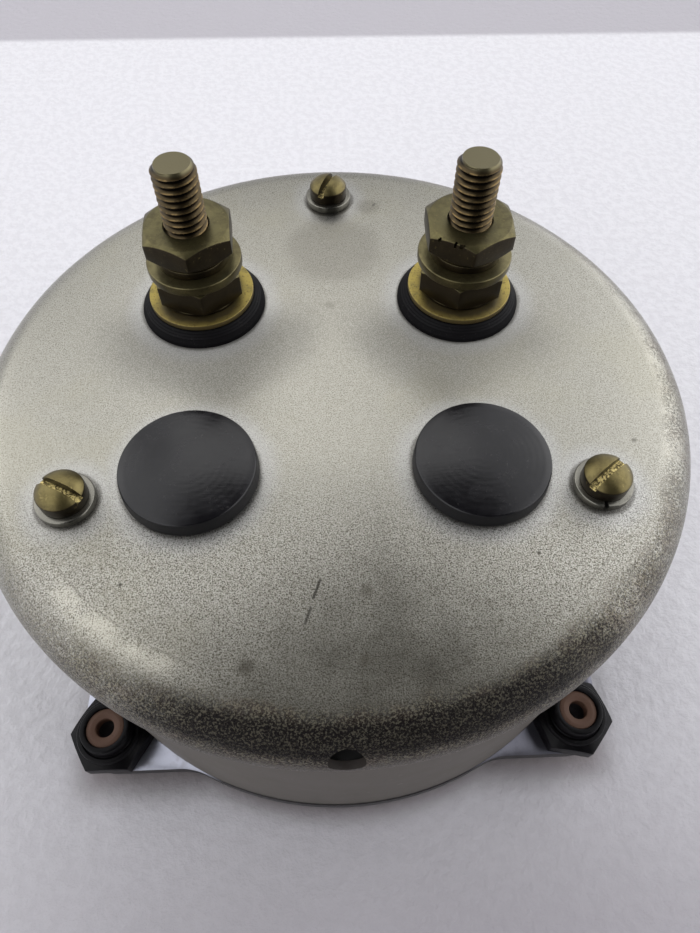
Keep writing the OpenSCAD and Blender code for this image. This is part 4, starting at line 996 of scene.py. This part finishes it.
class GAUGE_OT_plugs(Builder, bpy.types.Operator):
    """Turns the two black plugs"""

    bl_idname = "gauge.plugs"
    bl_label = "Hole plugs"

    def build(self, sizes, colours):
        for side in SIDES:
            node = f"plug_{side}"
            low, high = reach_of(node)
            centre = centre_of(node)
            corners = [(PLUG_DOME_STEP * i, high.z - drop) for i, drop in enumerate(PLUG_DOME)]
            corners += [
                (7.15, high.z - 0.511, 0.2), (7.22, high.z - 1.0), (PLUG_R, REAR_Z + 0.25, 0.1),
                (PLUG_R - 0.06, REAR_Z), (NECK_R, REAR_Z), (NECK_R, low.z, 0.3), (0.0, low.z),
            ]
            black = moulded_black(f"plug_black_{side}", centre, colours.bakelite, 0.08, 0.36)
            plug = Shape().turn(corners, centre, steps=128)
            plug.make(f"hole_plug_{side}", [black], node, "black_bakelite")


class GAUGE_OT_bushes(Builder, bpy.types.Operator):
    """Turns the terminals' bushes and the washers on them"""

    bl_idname = "gauge.bushes"
    bl_label = "Bushes and washers"

    def build(self, sizes, colours):
        for side in SIDES:
            centre = centre_of(f"stud_{side}")
            low, high = reach_of(f"bush_{side}")
            corners = [(WASHER_BORE, high.z), (6.5, high.z, 0.15)]
            for step in range(3):
                r, z = 6.66 + 0.23 * step, high.z - 0.18 - 0.24 * step
                corners += [(r, z, 0.04), (r + 0.03, z - 0.08, 0.04)]
            corners += [
                (BUSH_R - 0.05, REAR_Z + 0.5, 0.1), (BUSH_R, REAR_Z + 0.35, 0.1),
                (BUSH_R, REAR_Z), (NECK_R, REAR_Z), (NECK_R, low.z, 0.2), (WASHER_BORE, low.z),
            ]
            black = moulded_black(f"bush_black_{side}", centre, linear(8, 7, 9), 0.4, 0.12)
            bush = Shape().turn(corners, centre, closed=True, steps=128)
            bush.make(f"terminal_bush_{side}", [black], f"bush_{side}", "black_bakelite")

            node = f"base_washer_{side}"
            low, high = reach_of(node)
            reach, ease = high.x - centre[0], sizes.edge_ease / MM
            washer = Shape().washer(centre, WASHER_BORE + 0.05, reach, low.z, high.z, ease)
            brass = washer_brass(colours, f"yellow_brass_{side}", centre)
            washer.make(f"bush_washer_{side}", [brass], node, "yellow_brass")


class GAUGE_OT_terminal_nuts(Builder, bpy.types.Operator):
    """Makes the terminals' nuts, clamping washers and lock washers"""

    bl_idname = "gauge.terminal_nuts"
    bl_label = "Terminal nuts"

    def build(self, sizes, colours):
        flats, ease = sizes.nut_flats / MM, sizes.edge_ease / MM
        for side, sign in SIDES.items():
            centre = centre_of(f"stud_{side}")
            brass = tarnished(colours, f"nut_brass_{side}")
            dark = tarnished(colours, f"lower_brass_{side}", bright=0.06)
            # A lighter top and a darker side: painted light and painted shade, partly tarnish
            tones = {"top": linear(112, 105, 74), "side": linear(86, 79, 54)}
            plate = tarnished(colours, f"washer_brass_{side}", bright=0.1, **tones)

            low, high = reach_of(f"lower_nut_{side}")
            foot = low.z + 0.4
            nut = Shape().washer(centre, NUT_BORE, 4.7, low.z, foot, 0.08)
            nut.hexagon(centre, flats, foot, high.z, LOWER_TURNS[side], NUT_BORE, sink=0.15)
            nut.make(f"clamp_nut_{side}", [dark], f"lower_nut_{side}", "tarnished_brass")

            low, high = reach_of(f"clamp_washer_{side}")
            reach = high.x - centre[0]
            washer = Shape().washer(centre, WASHER_BORE, reach, low.z, high.z, ease)
            washer.make(f"lead_washer_{side}", [plate], f"clamp_washer_{side}", "tarnished_brass")

            low, high = reach_of(f"nut_washer_{side}")
            reach = max(high.x - centre[0], centre[0] - low.x)
            corners = [
                (WASHER_BORE, low.z, 0.1), (reach, low.z, 0.12),
                (reach, high.z, 0.12), (WASHER_BORE, high.z, 0.1),
            ]
            washer = Shape().split_washer(centre, corners, 90 + sign * 60, 0.5)
            washer.make(
                f"spring_washer_{side}",
                [dark],
                f"nut_washer_{side}",
                "tarnished_brass",
                body=f"washer_carrier_{side}",
            )

            low, high = reach_of(f"upper_nut_{side}")
            foot = low.z + 0.8
            nut = Shape().washer(centre, NUT_BORE, 4.2, low.z, foot, 0.15)
            nut.hexagon(centre, flats, foot, high.z, UPPER_TURNS[side], NUT_BORE, sink=0.15)
            if side == "right":
                nicks = Shape()
                for spot, size, turn in NUT_NICKS:
                    nicks.block((*spot, high.z - 0.25), size, math.radians(turn))
                nut.cut(nicks)
            nut.make(
                f"lead_nut_{side}",
                [brass],
                f"upper_nut_{side}",
                "tarnished_brass",
                body=f"terminal_nut_{side}",
            )


class GAUGE_OT_studs(Builder, bpy.types.Operator):
    """Cuts the threads of the terminal studs"""

    bl_idname = "gauge.studs"
    bl_label = "Terminal studs"

    def build(self, sizes, colours):
        depth, pitch, steps = sizes.thread_depth / MM, sizes.thread_pitch / MM, sizes.thread_steps
        foot, core_r = REAR_Z + 5.0, 2.15
        for side in SIDES:
            node = f"stud_{side}"
            centre = centre_of(node)
            low, high = reach_of(node)
            head, collar = high.x - centre[0], low.z + 1.2
            corners = [
                (0.0, foot), (core_r, foot, 0.1), (core_r, collar), (head, collar, 0.2),
                (head, low.z, 0.2), (0.0, low.z),
            ]
            stud = Shape().turn(corners, centre, steps=48)
            stud.thread(centre, STUD_R, depth, pitch, foot, high.z, 0.5, steps)
            finish = thread_brass(colours, f"stud_brass_{side}", centre, depth)
            stud.make(f"terminal_stud_{side}", [finish], node, "tarnished_brass", sharp=28)


class GAUGE_OT_mounting_nuts(Builder, bpy.types.Operator):
    """Makes the four captive nuts with their fibre rings"""

    bl_idname = "gauge.mounting_nuts"
    bl_label = "Mounting nuts"

    def build(self, sizes, colours):
        low, high = reach_of("mounting_nuts")
        ring_low, ring_high = reach_of("nut_lock_rings")
        flats, seat = sizes.nut_flats / MM, FLANGE_Z + MOUNT_NUT_HEIGHT
        collar = [
            (MOUNT_BORE, low.z), (3.1, low.z, 0.1), (3.1, FLANGE_Z + 0.1), (4.25, FLANGE_Z + 0.2),
            (4.25, seat - 0.1), (4.1, seat + 0.2, 0.1), (3.65, seat + 0.26, 0.1),
            (3.55, seat + 0.12), (3.35, seat + 0.4, 0.1), (3.25, high.z, 0.25),
            (2.5, high.z, 0.15), (2.5, ring_low.z), (MOUNT_BORE, ring_low.z),
        ]
        ring = [
            (1.18, ring_low.z), (2.47, ring_low.z), (2.47, ring_high.z - 0.08, 0.1),
            (1.9, ring_high.z, 0.2), (1.18, ring_high.z - 0.1, 0.15),
        ]
        nuts, rings = Shape(), Shape()
        for centre, turn in zip(MOUNT_CENTRES, MOUNT_TURNS):
            nuts.hexagon(centre, flats, FLANGE_Z, seat, turn, 1.75, low_end=False, crown=1.35)
            nuts.turn(collar, centre, closed=True, steps=72)
            rings.turn(ring, centre, closed=True, steps=72)
        nuts.make("stop_nuts", [blackened(colours, "black_oxide")], "mounting_nuts", "black_steel")
        fibre = enamelled("red_fibre", colours.fibre, 0.72, worn=(70, 44, 30), share=0.5)
        rings.make("fibre_rings", [fibre], "nut_lock_rings", "fibre_ring")


class GAUGE_OT_dial(Builder, bpy.types.Operator):
    """Dresses the dial and prints its plain scale from 0 to 10"""

    bl_idname = "gauge.dial"
    bl_label = "Dial"

    def build(self, sizes, colours):
        face = enamelled("dial_black", linear(22, 22, 23), 0.7)
        eased_copy("dial", "dial_plate", face, 0.05)
        black = blackened(colours, "dial_screw_black")
        eased_copy("dial_screws", "dial_plate_screws", black, 0.06)
        front = reach_of("dial")[0].z
        radius, start, sweep = sizes.scale_radius / MM, sizes.scale_start, sizes.scale_sweep
        marks, steps = Shape(), 20
        for step in range(steps + 1):
            turn = start + sweep * step / steps
            size, width = (sizes.short_mark, 0.5) if step % 2 else (sizes.long_mark, 0.9)
            middle = radius - size / MM / 2
            spot = (middle * math.cos(turn), middle * math.sin(turn), front - 0.01)
            marks.block(spot, (size / MM, width, 0.04), turn)
        low, high = front - 0.03, front + 0.01
        arc = [(radius, low), (radius + 0.5, low), (radius + 0.5, high), (radius, high)]
        solid = spun(arc, (0, 0), 48, True, start, sweep)
        close_ends(solid)
        white = enamelled("scale_white", linear(226, 224, 208), 0.6, worn=(150, 146, 130))
        marks.add(solid).make("dial_marks", [white], None, "pointer_white")
        middle = radius - sizes.long_mark / MM - 0.75 * sizes.figure_height / MM
        for step in range(0, 11, 2):
            turn = start + sweep * step / 10
            spot = Vector((middle * math.cos(turn), middle * math.sin(turn), front - 0.01)) * MM
            self.figure(str(step), sizes.figure_height, spot, white)

    def figure(self, text, height, spot, finish):
        """A thin layer of paint in the shape of a number, to be read from in front."""
        curve = bpy.data.curves.new("figure", "FONT")
        curve.body = text
        curve.size = height * 1.38
        curve.extrude = 0.02 * MM
        curve.align_x = "CENTER"
        curve.align_y = "CENTER"
        curve.offset = 0.07 * MM
        maker = bpy.data.objects.new("figure", curve)
        bpy.context.collection.objects.link(maker)
        graph = bpy.context.evaluated_depsgraph_get()
        data = bpy.data.meshes.new_from_object(maker.evaluated_get(graph))
        bpy.data.objects.remove(maker)
        bpy.data.curves.remove(curve)
        data.transform(Matrix.Translation(spot) @ Matrix.Rotation(math.pi, 4, "Y"))
        finish_piece(f"dial_figure_{text}", data, [finish], [], "housing", 30)


class GAUGE_OT_pointer(Builder, bpy.types.Operator):
    """Dresses the pointer and its balance weight"""

    bl_idname = "gauge.pointer"
    bl_label = "Pointer"

    def build(self, sizes, colours):
        white = enamelled("pointer_white", linear(222, 220, 206), 0.55, worn=(120, 116, 104))
        eased_copy(
            "pointer", "pointer_blade", white, 0.06, body="pointer_assembly"
        )
        dress("pointer_weight", enamelled("weight_brass", linear(190, 164, 100), 0.35, 0.9))


class GAUGE_OT_movement(Builder, bpy.types.Operator):
    """Gives every part of the movement and the wiring its finish"""

    bl_idname = "gauge.movement"
    bl_label = "Movement"

    def build(self, sizes, colours):
        for name, base, rough, metal, worn, nodes in MOVEMENT_FINISHES:
            finish = enamelled(name, linear(*base), rough, metal, worn)
            for node in nodes:
                dress(node, finish)
        wire = wound_wire("enamelled_wire", linear(168, 88, 44))
        sleeve = braided("lead_sleeve", linear(112, 40, 34))
        for node in ("coil_winding", "resistor_winding"):
            dress(node, wire)
        for side in SIDES:
            dress(f"lead_{side}", sleeve)


# The stage, in metres, watts and degrees

FLOOR_HALF = 2.6
STRIP_Y = 0.168
FLOOR_END = STRIP_Y + 0.02 + FLOOR_HALF
# Name, place, size and power
LAMPS = (
    ("back", (-0.04, 0.38, 0.50), 0.3, 0.3),
    ("left", (-0.44, 0.30, 0.40), 0.3, 0.25),
    ("right", (0.44, 0.32, 0.40), 0.3, 0.2),
)
LAMP_COLOUR = (1.0, 0.985, 0.965)
LAMP_AIM = Vector((0, 0, 0.03))
CAMERA_SPOT = (0.00001, -0.05227, 0.10492)
CAMERA_TILT, CAMERA_SWING, CAMERA_ROLL = (math.radians(a) for a in (58.08, 2.78, 0.68))
# The photograph's height, the focal length and the shift of its middle, in pixels
PHOTO_HEIGHT = 933.0
FOCAL = 684.28
SHIFT = (-4.15, 10.73)


class GAUGE_OT_stage(Builder, bpy.types.Operator):
    """Lays the pale floor, hangs the lamps and sets the camera"""

    bl_idname = "gauge.stage"
    bl_label = "Stage"

    def build(self, sizes, colours):
        self.floor(colours)
        self.sky()
        self.lamps()
        self.camera()
        bpy.context.scene.view_settings.view_transform = "Standard"

    def floor(self, colours):
        half_y = (FLOOR_END + FLOOR_HALF) / 2
        solid = bmesh.new()
        bmesh.ops.create_grid(solid, x_segments=1, y_segments=1, size=1.0)
        bmesh.ops.scale(solid, vec=(FLOOR_HALF, half_y, 1.0), verts=solid.verts)
        bmesh.ops.translate(solid, vec=(0.0, FLOOR_END - half_y, 0.0), verts=solid.verts)
        data = bpy.data.meshes.new("floor")
        solid.to_mesh(data)
        solid.free()
        data.materials.append(self.cloth(colours))
        floor = bpy.data.objects.new("floor", data)
        bpy.context.collection.objects.link(floor)

    def cloth(self, colours):
        """Pale felt, shaded under and in front of the gauge, with a grey strip far behind it."""
        f = Finish("floor_cloth")
        forward = -f.y
        tone = f.noise(0.03, detail=3)
        felt = f.noise(0.55, detail=4, rough=0.6)
        oval = f.node("CombineXYZ", {0: (f.x - 16.0) * 0.6, 1: f.y + 100.0})
        shade = 1.0 - f.fade(f.vector("LENGTH", oval, output=1), 20.0, 100.0)
        f.base = f.blend(shade, colours.floor_white, linear(144, 139, 145))
        f.coat(f.fade(tone, 0.3, 0.7) * 0.08, 222, 220, 228)
        f.coat(f.fade(felt, 0.56, 0.44) * 0.1, 150, 146, 152)
        round_it = 1.0 - f.fade(f.away(0.0, 0.0), 40.0, 44.5)
        below = f.fade(f.y, -41.0, -35.0) * (1.0 - f.fade(abs(f.x), 34.0, 41.0))
        near = f.larger(round_it, below) * f.fade(forward, 5.0, 30.0)
        f.coat(near * 0.75, 92, 80, 78)
        f.coat(f.fade(f.y, STRIP_Y / MM, STRIP_Y / MM + 3.0), 178, 175, 181)
        return f.surface(0.9, 0.0, ((felt, 0.3),))

    def sky(self):
        """A pale room, bright behind and beside the gauge, dark in front and straight above."""
        world = bpy.data.worlds.new("sky")
        bpy.context.scene.world = world
        n = Nodes(world)
        way = n.node("TexCoord", output="Generated")
        across, ahead = (n.node("SeparateXYZ", {0: way}, output=axis) for axis in (0, 1))
        behind = n.larger(-ahead, 0.0)
        aside = (across - 0.04 - 0.3 * behind) * 1.15 / (1.0 + behind)
        disc = n.node("CombineXYZ", {0: aside, 1: n.larger(ahead - 0.1, 0.0)})
        dark = 1.0 - n.fade(n.vector("LENGTH", disc, output=1), 0.29, 0.43)
        far = n.node("CombineXYZ", {0: across, 1: ahead - 0.9})
        wall = 0.58 + 0.77 * n.fade(n.vector("LENGTH", far, output=1), 0.14, 0.37)
        window = n.fade(-across, 0.15, 0.4) * (1.0 - n.fade(ahead, 0.42, 0.62))
        window = window * 0.62 + n.fade(across, 0.42, 0.6) * 0.4
        slope = 0.3 * across - 0.4 * n.larger(-across - 0.2, 0.0)
        level = (1.0 - dark * 0.98) * wall * (1.0 + slope + window)
        seen = n.node("LightPath", output="Is Camera Ray")
        level = level + seen * (0.88 - level)
        back = n.node("Background", {"Color": (0.97, 0.975, 1.0, 1.0), "Strength": level})
        n.node("OutputWorld", {0: back})

    def lamps(self):
        for name, spot, size, power in LAMPS:
            data = bpy.data.lights.new(name, "AREA")
            data.shape = "SQUARE"
            data.size = size
            data.energy = power
            data.color = LAMP_COLOUR
            lamp = bpy.data.objects.new(name, data)
            lamp.location = spot
            lamp.rotation_euler = (LAMP_AIM - Vector(spot)).to_track_quat("-Z", "Y").to_euler()
            bpy.context.collection.objects.link(lamp)

    def camera(self):
        """Looks from where the photograph was taken."""
        level, down = math.cos(CAMERA_TILT), -math.sin(CAMERA_TILT)
        side, straight = math.sin(CAMERA_SWING), math.cos(CAMERA_SWING)
        ahead = Vector((side * level, straight * level, down))
        across = Vector((straight, -side, 0.0))
        upward = across.cross(ahead)
        right = across * math.cos(CAMERA_ROLL) + upward * math.sin(CAMERA_ROLL)
        top = upward * math.cos(CAMERA_ROLL) - across * math.sin(CAMERA_ROLL)
        data = bpy.data.cameras.new("camera")
        data.sensor_width = 36.0
        data.lens = FOCAL * data.sensor_width / PHOTO_HEIGHT
        data.shift_x, data.shift_y = (pixels / PHOTO_HEIGHT for pixels in SHIFT)
        data.clip_start = 0.002
        data.clip_end = 20.0
        camera = bpy.data.objects.new("camera", data)
        turn = Matrix((right, top, -ahead)).transposed().to_4x4()
        camera.matrix_world = Matrix.Translation(CAMERA_SPOT) @ turn
        bpy.context.collection.objects.link(camera)
        bpy.context.scene.camera = camera


class GAUGE_PT_panel(bpy.types.Panel):
    """Lists the gauge's pieces and its sizes and colours"""

    bl_idname = "GAUGE_PT_panel"
    bl_label = "Gauge"
    bl_space_type = "VIEW_3D"
    bl_region_type = "UI"
    bl_category = "Gauge"

    def draw(self, context):
        for operator in OPERATORS:
            self.layout.operator(operator.bl_idname)
        for group in (context.scene.gauge_sizes, context.scene.gauge_colours):
            for name in group.__annotations__:
                self.layout.prop(group, name)


OPERATORS = (
    GAUGE_OT_stage,
    GAUGE_OT_case,
    GAUGE_OT_cover,
    GAUGE_OT_cover_screws,
    GAUGE_OT_plugs,
    GAUGE_OT_bushes,
    GAUGE_OT_terminal_nuts,
    GAUGE_OT_studs,
    GAUGE_OT_mounting_nuts,
    GAUGE_OT_glass,
    GAUGE_OT_dial,
    GAUGE_OT_pointer,
    GAUGE_OT_movement,
)
CLASSES = (GaugeSizes, GaugeColours, *OPERATORS, GAUGE_PT_panel)


def register():
    for each in CLASSES:
        bpy.utils.register_class(each)
    bpy.types.Scene.gauge_sizes = PointerProperty(type=GaugeSizes)
    bpy.types.Scene.gauge_colours = PointerProperty(type=GaugeColours)


def unregister():
    del bpy.types.Scene.gauge_sizes
    del bpy.types.Scene.gauge_colours
    for each in reversed(CLASSES):
        bpy.utils.unregister_class(each)


def main():
    """Builds every piece."""
    register()
    for operator in OPERATORS:
        group, name = operator.bl_idname.split(".")
        getattr(getattr(bpy.ops, group), name)()


if __name__ == "__main__":
    main()
